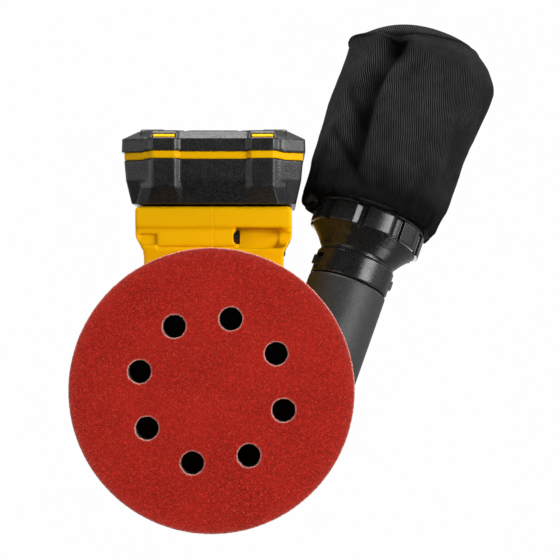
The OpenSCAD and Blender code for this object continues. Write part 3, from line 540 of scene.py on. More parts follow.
BARREL = Profile(
    [(-60, 42), (44.5, 42), (45, 42.6), (45, 46), (41, 52), (39, 60), (38.4, 74), (38.8, 86), (40, 94)]
    + [(41.8, 101)]
    + dome(43.2, WIDE_Z, SHELL_TOP)
    + [(-60, SHELL_TOP)],
    0.6,
)
BARREL_IN = Profile(
    [(-60, 41), (38.2, 41), (38.2, 46.2), (35.5, 52), (35, 60), (34.6, 76), (35.6, 90), (38.4, 101)]
    + dome(40.5, WIDE_Z, 140.7)
    + [(-60, 140.7)],
    0.4,
)
NECK_YZ = Profile(
    [(-60, 34), (57, 34), (62, 31.6), (70.2, 31.6), (71, 30), (79, 30), (80.6, 31.6), (80.6, 130.5),
     (79, 132), (69, 132), (65, 127), (-60, 127)],
    0.7,
)


NECK_HALF, FOOT_HALF, FOOT_Y1 = 31.5, 35.2, 80.6


def neck_field(x, y, z):
    """The block behind the barrel, which flares into the foot, clear of the dust shroud."""
    flare = ((abs(x) - NECK_HALF) * 6.8 - (y - 59.7) * 3.7) / 7.74
    foot = smax(rect_field(x, y, (-FOOT_HALF, 50), (FOOT_HALF, FOOT_Y1), 2.2), flare, 0.7)
    plan = smin(rect_field(x, y, (-NECK_HALF, 0), (NECK_HALF, 74), 4), foot, 0.7)
    f = smax(plan, NECK_YZ(y, z), 1.2)
    return cut(f, maximum(hypot(x, y) - 58.6, z - 42), 0.8)


def along_x(y, z, p, r):
    """A round bar along X through (y, z) = p."""
    return hypot(y - p[0], z - p[1]) - r


def switch_block(x, y, z, gap):
    """The room that the switch's bezel takes, with a gap round it."""
    u, v, w = local(x, y, z, SWITCH_R, SWITCH_AT)
    face = rect_field(u, v, (-13 - gap, -9 - gap), (13 + gap, 9 + gap), 3)
    return maximum(face, slab(w, -12 - gap, 18))


def foot_channel_field(x, y, z):
    """The driver's channel across the underside of the foot, less the screw boss that stands in it."""
    y0 = SCREWS[2][0]
    wide = box_field(x, y, z, (-29.2, y0 - 4.9, 20), (-9.7, y0 + 4.1, 38.4))
    end = smax(hypot(x + 29.2, y - y0 + 0.4) - 4.5, z - 38.4 + 1.1 * clip(-x - 27, 0, 7), 1.0)
    beside = box_field(x, y, z, (-9.8, y0 - 4.9, 20), (25.6, y0 + 1.8, 38.4))
    far = box_field(x, y, z, (25.4, y0 - 3.4, 20), (33.9, y0 + 1.4, 33.4), 1.0)
    room = minimum(minimum(wide, end), minimum(beside, far))
    boss = smax(along_x(y, z, SCREWS[2], 4.6), slab(x, -9.7, 25.5), 0.8)
    web = box_field(x, y, z, (-9.7, y0 - 4.6, SCREWS[2][1]), (25.5, y0 + 4.6, 40))
    return cut(room, smin(boss, web, 0.5), 0.8)


ROOMS = [
    ((-28.8, 10, 45), (28.8, 64.3, 124), 1),
    ((-27.5, 68.5, 41), (27.5, 77.2, 140), 0.3),
    ((-24.5, 76, 41), (24.5, 90, 140), 0.3),
    ((-9, 66.7, 117), (9, 69, 140), 0.2),
]


def housing_field(x, y, z):
    """Both halves at once: the barrel and the neck, hollow, with the screws' bosses and all openings."""
    r = hypot(x, y)
    outer = smin(BARREL(r, z), neck_field(x, y, z), 5)
    f = cut(outer, minimum(BARREL_IN(r, z), boxes_field(x, y, z, ROOMS)), 0.5)
    f = cut(f, foot_channel_field(x, y, z), 1.1)
    within = maximum(outer + 0.4, abs(x) - 30.5)
    for p in (SCREWS[0], SCREWS[1], SCREWS[3], SCREWS[4]):
        f = minimum(f, maximum(along_x(y, z, p, 4.6), within))
    for p in SCREWS:
        f = cut(f, maximum(along_x(y, z, p, 3.3), x + 9), 0.35)
        f = cut(f, maximum(along_x(y, z, p, 1.7), slab(x, -12, 15)), 0.1)
    for k in range(7):
        vent = rect_field(y, z, (42, 62 + 7 * k), (56, 64.6 + 7 * k), 1.25)
        f = cut(f, maximum(vent, abs(abs(x) - NECK_HALF) - 4), 0.4)
    # the openings for the speed dial and the switch, and the rubber strips' grooves
    f = cut(f, box_field(x, y, z, (-3.7, 44.4, 122), (3.7, 62.8, 130), 0.2), 0.5)
    f = cut(f, switch_block(x, y, z, 0.25), 0.3)
    strip = box_field(abs(x), y, z, (30.7, 58.6, 44), (40, 61.4, 118), 0.5)
    return cut(f, strip, 0.2)


housing_mesh = surface(housing_field, (-47, -46, 29), (47, 83, 146), FINE)
for side, name in ((-1, "housing_left"), (1, "housing_right")):
    bm, me = split_at_x0(*housing_mesh, side)
    for v in bm.verts:
        v.co *= MM
    bm.to_mesh(me)
    bm.free()
    me.name = "shell_" + name
    me.polygons.foreach_set("use_smooth", [True] * len(me.polygons))
    me.materials.append(MATS["yellow"])
    finish_piece(new_object("shell_" + name, me), "body", name)

# ---- the grip

GRIP_SKIRT = [(-60, 100.8), (43.6, 100.8), (44.8, 101.2), (45.6, 105)]
GRIP_OUT = Profile(GRIP_SKIRT + dome(46, WIDE_Z, GRIP_TOP) + [(-60, GRIP_TOP)], 0.5)
GRIP_IN = Profile(
    [(-60, 90), (41.8, 90), (41.8, 101)] + dome(43.2, WIDE_Z, SHELL_TOP) + [(-60, SHELL_TOP)], 0.3
)
DOT_PITCH = 4.2
DOT_ROW = DOT_PITCH * math.sqrt(0.75)


def grip_field(x, y, z):
    """The rubber cover, with rows of raised dots on its crown and two grooves round its skirt."""
    r = hypot(x, y)
    row = np.round(y / DOT_ROW)
    shift = 0.5 * (row % 2)
    col = np.round(x / DOT_PITCH - shift) + shift
    d = hypot(x - col * DOT_PITCH, y - row * DOT_ROW)
    dots = 0.28 * clip(1.25 - d, 0, 0.5) / 0.5 * clip((34 - r) / 2, 0, 1) * (z > 120)
    groove = 0.35 * (np.exp(-(((z - 107) / 0.7) ** 2)) + np.exp(-(((z - 111) / 0.7) ** 2)))
    f = cut(GRIP_OUT(r, z) + 0.3 - dots + groove, GRIP_IN(r, z), 0.4)
    f = cut(f, neck_field(x, y, z) - 0.15, 0.3)
    return cut(f, switch_block(x, y, z, 0.3), 0.4)


grip_mesh = surface(grip_field, (-48, -48, 99), (48, 48, 148), FINE)
grip = mesh_object("grip_cover", *grip_mesh, MATS["rubber"])
finish_piece(grip, "body", "palm_grip")

# ---- the battery

CORNER_X, CORNER_Z = 10.5, 7.0


def levels_at(levels, y):
    """What a table of (y, value, value ...) says at y."""
    t = [level[0] for level in levels]
    return [np.interp(y, t, [level[i] for level in levels]) for i in range(1, len(levels[0]))]


def octagon(x, z, half_width, z0, z1, k):
    """The pack's section: a rectangle with its four corners cut off."""
    a = abs(x) - half_width
    b = maximum(z0 - z, z - z1)
    c = (a * CORNER_Z + b * CORNER_X + CORNER_X * CORNER_Z) / math.hypot(CORNER_X, CORNER_Z)
    return smax(smax(a, b, k * 0.5), c, k)


def pillars_field(x, y, z, levels, k=0.35):
    """Two ribs on the underside and two on the top. Towards the tool each one spreads and runs out."""
    dx = abs(abs(x) - PILLAR_X) - 2.2 * clip((88.4 - y) / 6.6, 0, 1.1)
    z0, z1 = levels_at(levels, y)
    out = None
    for level, sign in ((z0, -1), (z1, 1)):
        h = (z - level) * sign
        f = smax(h - 1.8, ((dx - 7.2) * 1.8 + h * 2.2) / math.hypot(1.8, 2.2), k)
        f = maximum(f, -h - 3)
        out = f if out is None else minimum(out, f)
    return out


# half the width, and the bottom and the top, against y
UPPER = [(PACK_FACE_Y, 37, 27.5, 135.6), (91.8, 39.4, 24.6, 138.4), (BAND_Y0, 40.2, 24.2, 139)]
BAND = [(BAND_Y0, 40, 24.3, 138.8), (BAND_Y1, 40.2, 24.3, 138.8)]
LOWER = [(BAND_Y1, 41.3, 23.4, 139.6), (110.3, 41.1, 23.6, 139.4), (PACK_BASE_Y, 33.5, 28, 135)]
ROOM = [(83.7, 34.8, 29.8, 133.2), (91.8, 37, 27, 136), (102, 37.6, 26.8, 136.4)]
ROOM += [(108.5, 37.6, 26.8, 136.4), (111.8, 35, 29, 134)]
# the pillars' lower and upper level, against y
UPPER_PILLARS = [(81.8, 28.9, 133.9), (88.4, 24.9, 137.9), (BAND_Y0, 24.2, 139)]
BAND_PILLARS = [(BAND_Y0, 24.3, 138.8), (BAND_Y1, 24.3, 138.8)]
LOWER_PILLARS = [(BAND_Y1, 23.4, 139.6), (110.3, 23.6, 139.4), (PACK_BASE_Y, 28, 135)]
PACK_SCREWS = [(-12, 30.6), (12, 30.6), (-18.6, 131.6), (18.6, 131.6)]
PLUG_Y, PLUG_Z = 111.1, 24.1
LATCH_ROOM = [
    ((-12.5, 82, 128.6), (12.5, 98, 150), 0.3),
    ((-8.5, 60, 118.3), (8.5, 90.4, 131.6), 0.2),
    ((-12.5, 79, 131.4), (12.5, 84, 150), 0.3),
]


def ease(v, a, b):
    """0 below a, 1 above b, and smooth between."""
    t = clip((v - a) / (b - a), 0, 1)
    return t * t * (3 - 2 * t)


def band_line(x):
    """How far the band sits below its middle height: it steps down at the corners and up on the pillars."""
    a = abs(x)
    return 0.4 * ease(a, 30.4, 31.8) - 0.3 * ease(a, 14.6, 15.6) * (1 - ease(a, 28.4, 29.4))


def pack_shape(x, y, z, levels, pillars, y0, y1):
    """A length of the pack from y0 to y1, solid."""
    f = octagon(x, z, *levels_at(levels, y), 0.8)
    f = smin(f, pillars_field(x, y, z, pillars), 0.25)
    return smax(f, slab(y, y0, y1), 0.5)


def pack_room(x, y, z):
    """The hollow for the cells, less the block that carries the latch."""
    f = maximum(octagon(x, z, *levels_at(ROOM, y), 0.3), slab(y, 83.7, 111.8))
    return maximum(f, -box_field(x, y, z, (-16, 80, 128.4), (16, 101.2, 140)))


def upper_field(x, y, z):
    """The pack's upper case, with the tongue that slides in the foot and the latch's opening."""
    line = y + band_line(x) * ease(y, 94, 99)
    f = pack_shape(x, line, z, UPPER, UPPER_PILLARS, PACK_FACE_Y, 101.15)
    tongue = box_field(x, y, z, (-27.1, 69, 45.6), (27.1, 76.8, 131.4), 0.5)
    tongue = smin(tongue, box_field(x, y, z, (-24.1, 76, 45.6), (24.1, 84, 131.4), 0.3), 0.2)
    f = smin(f, tongue, 0.3)
    f = cut(f, pack_room(x, y, z), 0.2)
    f = cut(f, boxes_field(x, y, z, LATCH_ROOM), 0.3)
    for blade_x in (-12, -4, 4, 12):
        f = cut(f, box_field(x, y, z, (blade_x - 1.2, 60, 40), (blade_x + 1.2, 76.4, 69)), 0.1)
    return f


def band_field(x, y, z):
    """The yellow band between the pack's two cases."""
    y = y + band_line(x)
    f = pack_shape(x, y, z, BAND, BAND_PILLARS, 101.22, 104.58)
    return cut(f, pack_room(x, y, z), 0.2)


def lower_field(x, y, z):
    """The pack's lower case, with its four feet and its screws' recesses."""
    line = y + band_line(x) * (1 - ease(y, 106, 109.5))
    f = pack_shape(x, line, z, LOWER, LOWER_PILLARS, 104.65, PACK_BASE_Y)
    feet = box_field(abs(x), y, z, (22, 110, 34), (33, 115, 129), 0.8)
    f = smin(f, feet, 0.5)
    f = cut(f, pack_room(x, y, z), 0.2)
    for px, pz in PACK_SCREWS:
        f = cut(f, maximum(hypot(x - px, z - pz) - 2.4, 111.2 - y), 0.3)
    # recesses for the two yellow plugs in the lower bevel
    s = math.sqrt(0.5)
    dy, dz = (y - PLUG_Y) * s, (z - PLUG_Z) * s
    for px in (-PILLAR_X, PILLAR_X):
        a, b = dy + dz, dz - dy
        f = cut(f, box_field(x - px, a, b, (-5.2, -1.25, -2), (5.2, 1.25, 2), 0.3), 0.3)
    return f


PACK_STEP = 0.6
for name, field, ylim, mat in (
    ("pack_upper_case", upper_field, (68, 102), "case"),
    ("pack_band", band_field, (99.4, 106), "yellow"),
    ("pack_lower_case", lower_field, (102.8, 116), "case"),
):
    pts, quads = surface(field, (-43.4, ylim[0], 20.6), (43.4, ylim[1], 142.6), PACK_STEP)
    piece = mesh_object("shell_" + name, pts, quads, MATS[mat])
    finish_piece(piece, "battery", name)

# ---- the port and its collar

PORT_OUT, PORT_IN, SHROUD_R = 18.2, 14.6, 58.1
SHROUD_SOLID = Profile(
    [(-60, 0), (SHROUD_R, 0), (SHROUD_R, 29.6), (53.1, 40.1), (50.1, 42.1), (-60, 42.1)], 0
)
PORT_EARS = [(-41.7, -25.1, 90), (-34.3, 34.7, 200)]


def port_field(x, y, z):
    """The tube and its spigot with two lugs, its two screwed ears, and what it makes room for."""
    u, v, w = local(x, y, z, PORT_R, PORT_JOINT)
    r = hypot(u, v)
    ball = np.sqrt(r**2 + (w + 55) ** 2)
    tube = minimum(smax(r - PORT_OUT, slab(w, -55, 0), 1.0), ball - PORT_OUT)
    spigot = smax(r - 15.6, slab(w, -4, 15), 0.6)
    lugs = box_field(abs(u), v, w, (14.6, -2, 5), (19.1, 2, 9), 0.4)
    f = smin(minimum(tube, spigot), lugs, 0.3)
    for ex, ey, turn in PORT_EARS:
        c, s = math.cos(math.radians(turn)), math.sin(math.radians(turn))
        a, b = (x - ex) * c + (y - ey) * s, (y - ey) * c - (x - ex) * s
        ear = minimum(hypot(a, b) - 3.3, rect_field(a, b, (0, -3.3), (5.2, 3.3), 0.2))
        f = smin(f, smax(ear, slab(z, 42.05, 44), 0.4), 0.8)
        f = cut(f, hypot(x - ex, y - ey) - 1.3, 0.1)
    bore = minimum(maximum(r - PORT_IN, slab(w, -55, -2)), ball - PORT_IN)
    f = cut(f, minimum(bore, maximum(r - 13.4, slab(w, -5, 25))), 0.4)
    rr = hypot(x, y)
    f = cut(f, maximum(rr - SHROUD_R, z - 17), 0.3)
    f = cut(f, SHROUD_SOLID(rr, z), 0.3)
    f = cut(f, BARREL(rr, z) - 0.1, 0.3)
    f = cut(f, neck_field(x, y, z) - 0.1, 0.3)
    return cut(f, box_field(x, y, z, (-99, -70, -9), (9, 60, 17.2)), 0.6)


port_mesh = surface(port_field, (-84, -32, 14), (-20, 62, 66), FINE)
finish_piece(mesh_object("port_tube", *port_mesh, MATS["port"]), "body", "dust_port")


def collar_field(x, y, z):
    """The bayonet collar in the port's frame: sleeve, cone, gripped ring, bore and its two L slots."""
    r = hypot(x, y)
    a = np.arctan2(y, x)
    sleeve = smax(r - PORT_OUT, slab(z, 0.5, 11.9), 0.7)
    cone_r = np.interp(z, [11.6, 12.4, 14.2, 18.2, 22.6, 24], [18.0, 17.3, 17.5, 20.3, 24.2, 24.4])
    cone = smax((r - cone_r) * 0.78, slab(z, 11.4, 24), 0.5)
    # nine raised grips round the ring, each bevelled on one side, with a narrow slot between them
    pitch = math.radians(40)
    phase = ((a - math.radians(99.5)) / pitch + 0.5) % 1 - 0.5
    across = (abs(phase) - 0.5) * pitch * r + 1.75
    bevel = ((phase - 0.5) * pitch * r + 3.4) * 0.5 + (r - 25.4) * 0.8
    grip = smax(smax(smax(r - 26, across, 0.3), bevel, 0.3), slab(z, 22.9, 32.5), 0.45)
    ring = smin(smax(r - 24.2, slab(z, 22.6, 32.5), 0.4), grip, 0.2)
    f = smin(smin(sleeve, cone, 0.3), ring, 0.4)
    bore = maximum(r - 15.8, slab(z, -5, 15.2))
    bore = minimum(bore, maximum(r - 16.08, slab(z, 15, 18)))
    bore = minimum(bore, maximum((r - 17.4 - 5.2 * (z - 16.8) / 10) * 0.88, slab(z, 16.8, 26.8)))
    bore = minimum(bore, maximum(r - 23.4, slab(z, 26.7, 40)))
    f = cut(f, bore, 0.4)
    slot = box_field(abs(x), y, z, (13.6, -2.3, -3), (26, 2.3, 9.4), 0.2)
    turn = (a % math.pi) * r
    within = maximum(-turn, turn - math.radians(32.4) * r)
    run = maximum(maximum(slab(z, 4.6, 9.4), 13.6 - r), within)
    return cut(f, minimum(slot, run), 0.3)


pts, quads = surface(collar_field, (-27.5, -27.5, -0.6), (27.5, 27.5, 33.8), 0.45)
collar = mesh_object("collar_shell", place(pts, PORT_R, PORT_JOINT), quads, MATS["collar"])
finish_piece(collar, "collar", "lock_collar")

# ---- the abrasive disc


def value_noise(x, y, size, seed):
    """Smooth random values on a lattice of the given size, the same on every run."""

    def lattice(i, j):
        h = np.sin(i * 127.1 + j * 311.7 + seed * 74.7) * 43758.5453
        return h - np.floor(h)

    u, v = x / size, y / size
    i, j = np.floor(u), np.floor(v)
    a, b = u - i, v - j
    a, b = a * a * (3 - 2 * a), b * b * (3 - 2 * b)
    top = lattice(i, j) * (1 - a) + lattice(i + 1, j) * a
    low = lattice(i, j + 1) * (1 - a) + lattice(i + 1, j + 1) * a
    return top * (1 - b) + low * b


def disc_outline(x, y):
    """Distances outside the disc's rim and inside its eight holes, both slightly frayed."""
    y = y - PAD_AXIS_Y
    r, a = hypot(x, y), np.arctan2(y, x)
    along = a * DISC_R + 200
    fray = 0.22 * value_noise(along, 0 * a, 0.8, 3) + 0.12 * value_noise(along, 0 * a, 2.3, 5)
    turn = math.pi / 4
    rel = (a - HOLE_PHASE) % turn
    rel = minimum(rel, turn - rel)
    hx, hy = r * np.cos(rel) - HOLE_PCD / 2, r * np.sin(rel)
    tear = 0.35 * value_noise(x + 90, y + 90, 0.9, 7) - 0.1
    return r - DISC_R + 0.5 * fray, HOLE_R + tear - hypot(hx, hy)


def disc_field(x, y, z):
    """The sheet with its holes, its lower face roughened by the grit."""
    rim, holes = disc_outline(x, y)
    grit = 0.10 * value_noise(x + 90, y + 90, 0.55, 11) + 0.07 * value_noise(x + 90, y + 90, 1.3, 13)
    return maximum(smax(rim, holes, 0.2), smax(0.02 + grit - z, z - 0.98, 0.1))


disc_step = ((0.5, 0.5, 0.24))
pts, quads = surface(disc_field, (-64, -65, -0.5), (64, 63, 1.5), disc_step)
disc = mesh_object("grit_disc", pts, quads, MATS["grit"])
rim, holes = disc_outline(pts[:, 0], pts[:, 1])
wear_and_highlight = clip(1 + maximum(rim / 0.5, holes / 0.6), 0, 1)
# a soft pale band just inside the rim: a painted highlight
wear_and_highlight = maximum(wear_and_highlight, 0.10 * np.exp(minimum(rim, 0) / 1.6))
point_values(disc, "wear_and_highlight", wear_and_highlight)
finish_piece(disc, "pad", "abrasive_disc")

# ---- the dust bag

def through(knots, points, t):
    """Curves through points[k] at knots[k], eased so that they don't overshoot."""
    knots, points = np.asarray(knots, float), np.asarray(points, float)
    h = np.diff(knots)[:, None]
    d = np.diff(points, axis=0) / h
    m = np.zeros_like(points)
    product = d[:-1] * d[1:]
    m[1:-1] = np.where(product > 0, 2 * product / np.where(product > 0, d[:-1] + d[1:], 1), 0)
    m[0], m[-1] = d[0], d[-1]
    i = clip(np.searchsorted(knots, t, "right") - 1, 0, len(knots) - 2)
    s = ((t - knots[i]) / h[i, 0])[:, None]
    return (
        points[i] * (2 * s**3 - 3 * s**2 + 1)
        + h[i] * m[i] * (s**3 - 2 * s**2 + s)
        + points[i + 1] * (3 * s**2 - 2 * s**3)
        + h[i] * m[i + 1] * (s**3 - s**2)
    )


def bump_at(v, centre, width):
    return np.exp(-(((v - centre) / width) ** 2))


def bag_section(w, a):
    """The bag's cross section at height w: squarish, wider to +x, as it hangs on its wire frame."""
    c, s = np.cos(a), np.sin(a)
    left = np.interp(w, [34, 36, 50, 81, 105, 113], [31.6, 33.6, 35.3, 37.0, 36.8, 36.4])
    right = np.interp(w, [34, 36, 48, 81, 100, 110], [28.4, 29.4, 30.6, 32.2, 33.8, 34.2])
    deep = np.interp(w, [34, 38, 60, 100], [26.4, 27.6, 28.6, 29.0])
    x = np.where(c > 0, left, right) * np.sign(c) * abs(c) ** 0.84
    return x, deep * np.sign(s) * abs(s) ** 0.84


def bag_side(a, c, s, seam, rows):
    """The bag's side from its mouth to its far seam, as rows of points in the port's frame."""
    # the last station stands back from the seam, less where the cloth is pulled straight
    last = seam[2] - (9.0 - 7.0 * c * (c > 0) - 8.5 * c * (c < 0))
    full = np.stack(bag_section(39.0, a))
    mouth = 13.3 * np.stack([c, s])
    droop = 0.8 + 0.8 * c + 2.6 * clip(c, 0, 1) * clip(0.55 - s, 0, 1)
    stations = [
        (0, 17.2 * np.stack([c, s]), 34.4),
        (0.05, 25.4 * np.stack([c, s]), 34.3),
        (0.075, mouth + 0.5 * full, 34.2 - droop),
        (0.095, 0.965 * full, 35.2 - droop),
        (0.12, 0.995 * full, 37.2 - 0.7 * droop),
        (0.16, full, 40.0),
    ]
    for share in (0.2, 0.4, 0.6, 0.8, 1.0):
        w = 40 + (last - 40) * share
        stations.append((0.16 + 0.70 * share, np.stack(bag_section(w, a)), w))
    x, y = bag_section(last, a)
    middle = 0.5 * (np.stack([x, y]) + seam[:2])
    middle += 0.10 * (np.stack([x, y]) - seam[:2]) + np.stack([1.2 * c, 0.9 * s])
    stations += [(0.94, middle, 0.5 * (last + seam[2])), (1.0, seam[:2], seam[2])]
    knots = [station[0] for station in stations]
    curves = [
        [station[1][0] for station in stations],
        [station[1][1] for station in stations],
        [np.broadcast_to(station[2], a.shape) for station in stations],
    ]
    t = np.linspace(0, 1, rows)
    return np.stack([through(knots, np.array(curve), t) for curve in curves], -1)


# each fold in the bag's face: its middle x and height, its lean, half its length and width, its depth
FOLDS = [
    (22, 52, 0.9, 12, 3.2, 2.0), (27, 76, 0.7, 12, 3.0, 1.8), (4, 101, -0.45, 13, 3.0, 1.0),
    (-9, 98, 0.25, 18, 3.4, 0.9), (-20, 88, 0.2, 22, 3.0, 0.8), (-14, 50, -0.15, 13, 3.2, 0.9),
    (2, 46, 0.1, 9, 2.6, 1.3), (-24, 58, -0.1, 16, 2.6, 0.8),
]


def bag_dents(cloth, a, n_side):
    """How far the cloth stands out of its smooth shape, and how much painted shade it gets, 0 to 1."""
    x, y, w = cloth[..., 0], cloth[..., 1], cloth[..., 2]
    near = clip(y / 12, 0, 1)
    row = np.arange(len(cloth))[:, None]
    on_side = row < n_side
    step = np.linalg.norm(np.gradient(cloth, axis=0), axis=2)
    to_seam = abs(row - (n_side - 1)) * clip(step, 0.2, 1.2)
    d = -1.25 * np.exp(-((to_seam / 0.9) ** 2)) + 0.35 * np.exp(-(((to_seam - 2.4) / 1.1) ** 2)) * on_side
    # the hollow under the seam, and the fold that runs down from it
    d -= 7.5 * bump_at(x, 17.0, 5.2) * bump_at(w, 107.0, 8.0) * near * clip((119 - w) / 6, 0, 1)
    depth = 4.6 * bump_at(w, 66, 17) + 3.4 * bump_at(w, 90, 10) + 1.4 * bump_at(w, 46, 8)
    bend = 1.6 * np.sin((w - 60) / 13)
    drop = ease(x, 14.0 + bend, 16.6 + bend) * (1 - ease(x, 17.4 + bend, 27.0 + bend))
    d -= depth * drop * near * on_side
    for cx, cw, width, length, height in (
        (11.0, 70, 3.6, 22, 1.5), (29.5, 58, 3.6, 12, 2.2), (27.0, 90, 3.4, 10, 1.6),
    ):
        d += height * bump_at(x, cx, width) * bump_at(w, cw, length) * near
    # folds that run from the seam and the mouth into the face
    for cx, cw, lean, length, width, height in FOLDS:
        across = (x - cx) - lean * (w - cw)
        fold = np.exp(-((across / width) ** 2) - ((w - cw) / length) ** 2)
        d -= height * fold * near * (1 - ease(x, 28, 33))
    # slack between the frame's four rods, broad waves, and small pleats where the mouth is gathered
    aa = a[None, :]
    body = clip((w - 38) / 10, 0, 1) * clip((116 - w) / 10, 0, 1)
    waves = 0.35 * np.sin(2 * aa + w / 17) + 0.45 * np.sin(5 * aa - w / 23 + 1.3)
    d += body * (waves + 0.35 * np.sin(9 * aa + w / 9))
    pleat = np.exp(-(((w - 35.5) / 7.5) ** 2)) * on_side * clip((hypot(x, y) - 25) / 4, 0, 1)
    d += pleat * (0.42 * np.sin(19 * aa + 1.5 * np.sin(3 * aa)) + 0.3 * np.sin(31 * aa + 2) - 0.35)
    d += 0.5 * (value_noise(aa * 34 + 300, w + 50, 9.0, 21) - 0.5) * body
    d += 0.25 * (value_noise(aa * 34 + 300, w + 50, 3.5, 22) - 0.5) * body
    # painted shade: the folds' hollows, the pleats and the seam, and bands towards the mouth and the end,
    # which the material darkens
    painted_shade = clip(-d / 4.0, 0, 1) + 0.9 * pleat + 0.8 * np.exp(-((to_seam / 1.8) ** 2))
    painted_shade += 0.55 * np.exp(-(((w - 40) / 12) ** 2)) + 0.3 * ease(w, 112, 122) * (1 - near * 0.5)
    # the mouth's edge stays where the neck holds it
    hold = clip((hypot(x, y) - 25.5) / 3.0, 0, 1)
    return d * np.where(w < 40, hold, 1), clip(painted_shade, 0, 1)


def bag_cloth():
    """Rows of points from the bag's mouth over the far seam to the end panel's middle, and its painted
    shade.
    """
    columns, n_side, n_end = ((384, 240, 60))
    a = np.linspace(0, 2 * math.pi, columns, endpoint=False)
    c, s = np.cos(a), np.sin(a)
    seam = np.stack([8.0 + 27.9 * c, 25.2 * s, 118.7 - 6.9 * c - 1.1 * s**2])
    side = bag_side(a, c, s, seam, n_side)
    # the end panel, domed beyond the seam
    rho = 1 - np.linspace(0, 1, n_end + 1)[1:]
    middle = np.array([6.0, 0.0, 129.4])
    end = middle + (seam.T[None] - middle) * rho[:, None, None]
    end[..., 2] += (2.9 + 1.5 * c)[None, :] * 4 * rho[:, None] ** 1.3 * (1 - rho[:, None])
    cloth = np.concatenate([side, end])
    normal = np.cross(np.roll(cloth, -1, 1) - np.roll(cloth, 1, 1), np.gradient(cloth, axis=0))
    normal /= np.linalg.norm(normal, axis=2, keepdims=True) + 1e-9
    normal *= np.sign((normal * (cloth - np.array([2, 0, 80]))).sum(2).mean())
    d, painted_shade = bag_dents(cloth, a, n_side)
    return cloth + normal * d[..., None], n_side, painted_shade


def bag_faces(rows, columns):
    """Quads between the rows, and a fan of triangles to the last point."""
    k, i = np.meshgrid(np.arange(rows - 2), np.arange(columns), indexing="ij")
    j = (i + 1) % columns
    corners = [k * columns + i, k * columns + j, (k + 1) * columns + j, (k + 1) * columns + i]
    last, tip = (rows - 2) * columns, (rows - 1) * columns
    fan = [(last + j, last + (j + 1) % columns, tip) for j in range(columns)]
    return np.stack(corners, -1).reshape(-1, 4).tolist() + fan


def bag_uv(cloth, n_side):
    """The cloth's own coordinates in mm: the side is one panel, with ribs 20 degrees off the axis,
    and the end panel is another."""
    rows, columns = cloth.shape[:2]
    girth = np.linalg.norm(np.roll(cloth, -1, 1) - cloth, axis=2)[n_side // 2]
    around = np.concatenate([[0], np.cumsum(girth)])
    steps = np.linalg.norm(np.diff(cloth, axis=0), axis=2).mean(1)
    length = np.concatenate([[0], np.cumsum(steps)])
    c, s = math.cos(math.radians(20)), math.sin(math.radians(20))

    def at(row, column):
        if row >= n_side:
            return cloth[row, column % columns, :2].tolist()
        u, v = -around[column], length[row]
        return u * c - v * s, u * s + v * c

    uv = []
    for row in range(rows - 2):
        first = n_side if row >= n_side - 1 else 0
        low, high = max(row, first), max(row + 1, first)
        for i in range(columns):
            uv += [*at(low, i), *at(low, i + 1), *at(high, i + 1), *at(high, i)]
    for i in range(columns):
        uv += [*at(rows - 2, i), *at(rows - 2, i + 1), *at(rows - 1, i)]
    return uv


cloth, n_side, painted_shade = bag_cloth()
pts = np.concatenate([cloth[:-1].reshape(-1, 3), cloth[-1:, :1].reshape(1, 3)])
faces = bag_faces(*cloth.shape[:2])
bag = mesh_object("dust_bag_cloth", place(pts, PORT_R, PORT_JOINT), faces, MATS["twill"])
point_values(bag, "painted_shade", np.append(painted_shade[:-1].ravel(), painted_shade[-1, 0]))
layer = bag.data.uv_layers.new(name="cloth")
layer.data.foreach_set("uv", bag_uv(cloth, n_side))
bm = bmesh.new()
bm.from_mesh(bag.data)
bmesh.ops.recalc_face_normals(bm, faces=bm.faces)
bm.to_mesh(bag.data)
bm.free()
solid = bag.modifiers.new("cloth", "SOLIDIFY")
solid.thickness = 0.8 * MM
solid.offset = -1
finish_piece(bag, "bag", "dust_bag")

# ---- what stays as CAD

NODE_LOOKS = {
    "rubber": "side_strips",
    "yellow": "dust_shroud pack_plugs",
    "steel": (
        "shroud_screws port_screws lower_bearing upper_bearing stator_core motor_shaft "
        "rotor_core lower_bearing_inner upper_bearing_inner pad_bearing pad_bearing_clip "
        "pad_bearing_inner pad_spindle pad_screw pad_washer cell_straps latch_spring"
    ),
    "black_steel": "housing_screws bearing_plate counterweight_fan pack_screws",
    "dark": (
        "pad_brake_ring bearing_boot controller_parts terminal_block wiring switch_bezel "
        "switch_module cooling_fan backing_plate switch_rocker"
    ),
    "copper": "stator_coils",
    "green": "sensor_board controller_board pack_board",
    "brass": "terminal_blades pack_contacts",
    "blue": "dial_sensor",
    "magnet": "rotor_magnets",
    "foam": "foam_pad",
    "hook": "hook_layer",
    "cell": "pack_cells",
    "white": "cell_frame",
    "gloss": "latch_button speed_dial",
    "port": "bag_neck bag_frame",
}
BEVELS = {
    0.5: "dust_shroud switch_bezel latch_button foam_pad",
    0.4: "switch_rocker backing_plate",
    0.3: "side_strips pad_brake_ring pack_plugs bag_neck bag_frame",
    0.25: "speed_dial",
    0.2: "hook_layer",
    0.15: "housing_screws pack_screws",
}


def soften(obj, width):
    """Bevel a CAD node's edges, once its coplanar triangles are joined."""
    weld = obj.modifiers.new("weld", "WELD")
    weld.merge_threshold = 1e-6
    flat = obj.modifiers.new("flat", "DECIMATE")
    flat.decimate_type = "DISSOLVE"
    flat.angle_limit = math.radians(0.5)
    bevel = obj.modifiers.new("bevel", "BEVEL")
    bevel.width = width * MM
    bevel.segments = 2
    bevel.limit_method = "ANGLE"
    bevel.angle_limit = math.radians(30)
    bevel.harden_normals = False
    normals = obj.modifiers.new("normals", "WEIGHTED_NORMAL")
    normals.keep_sharp = True


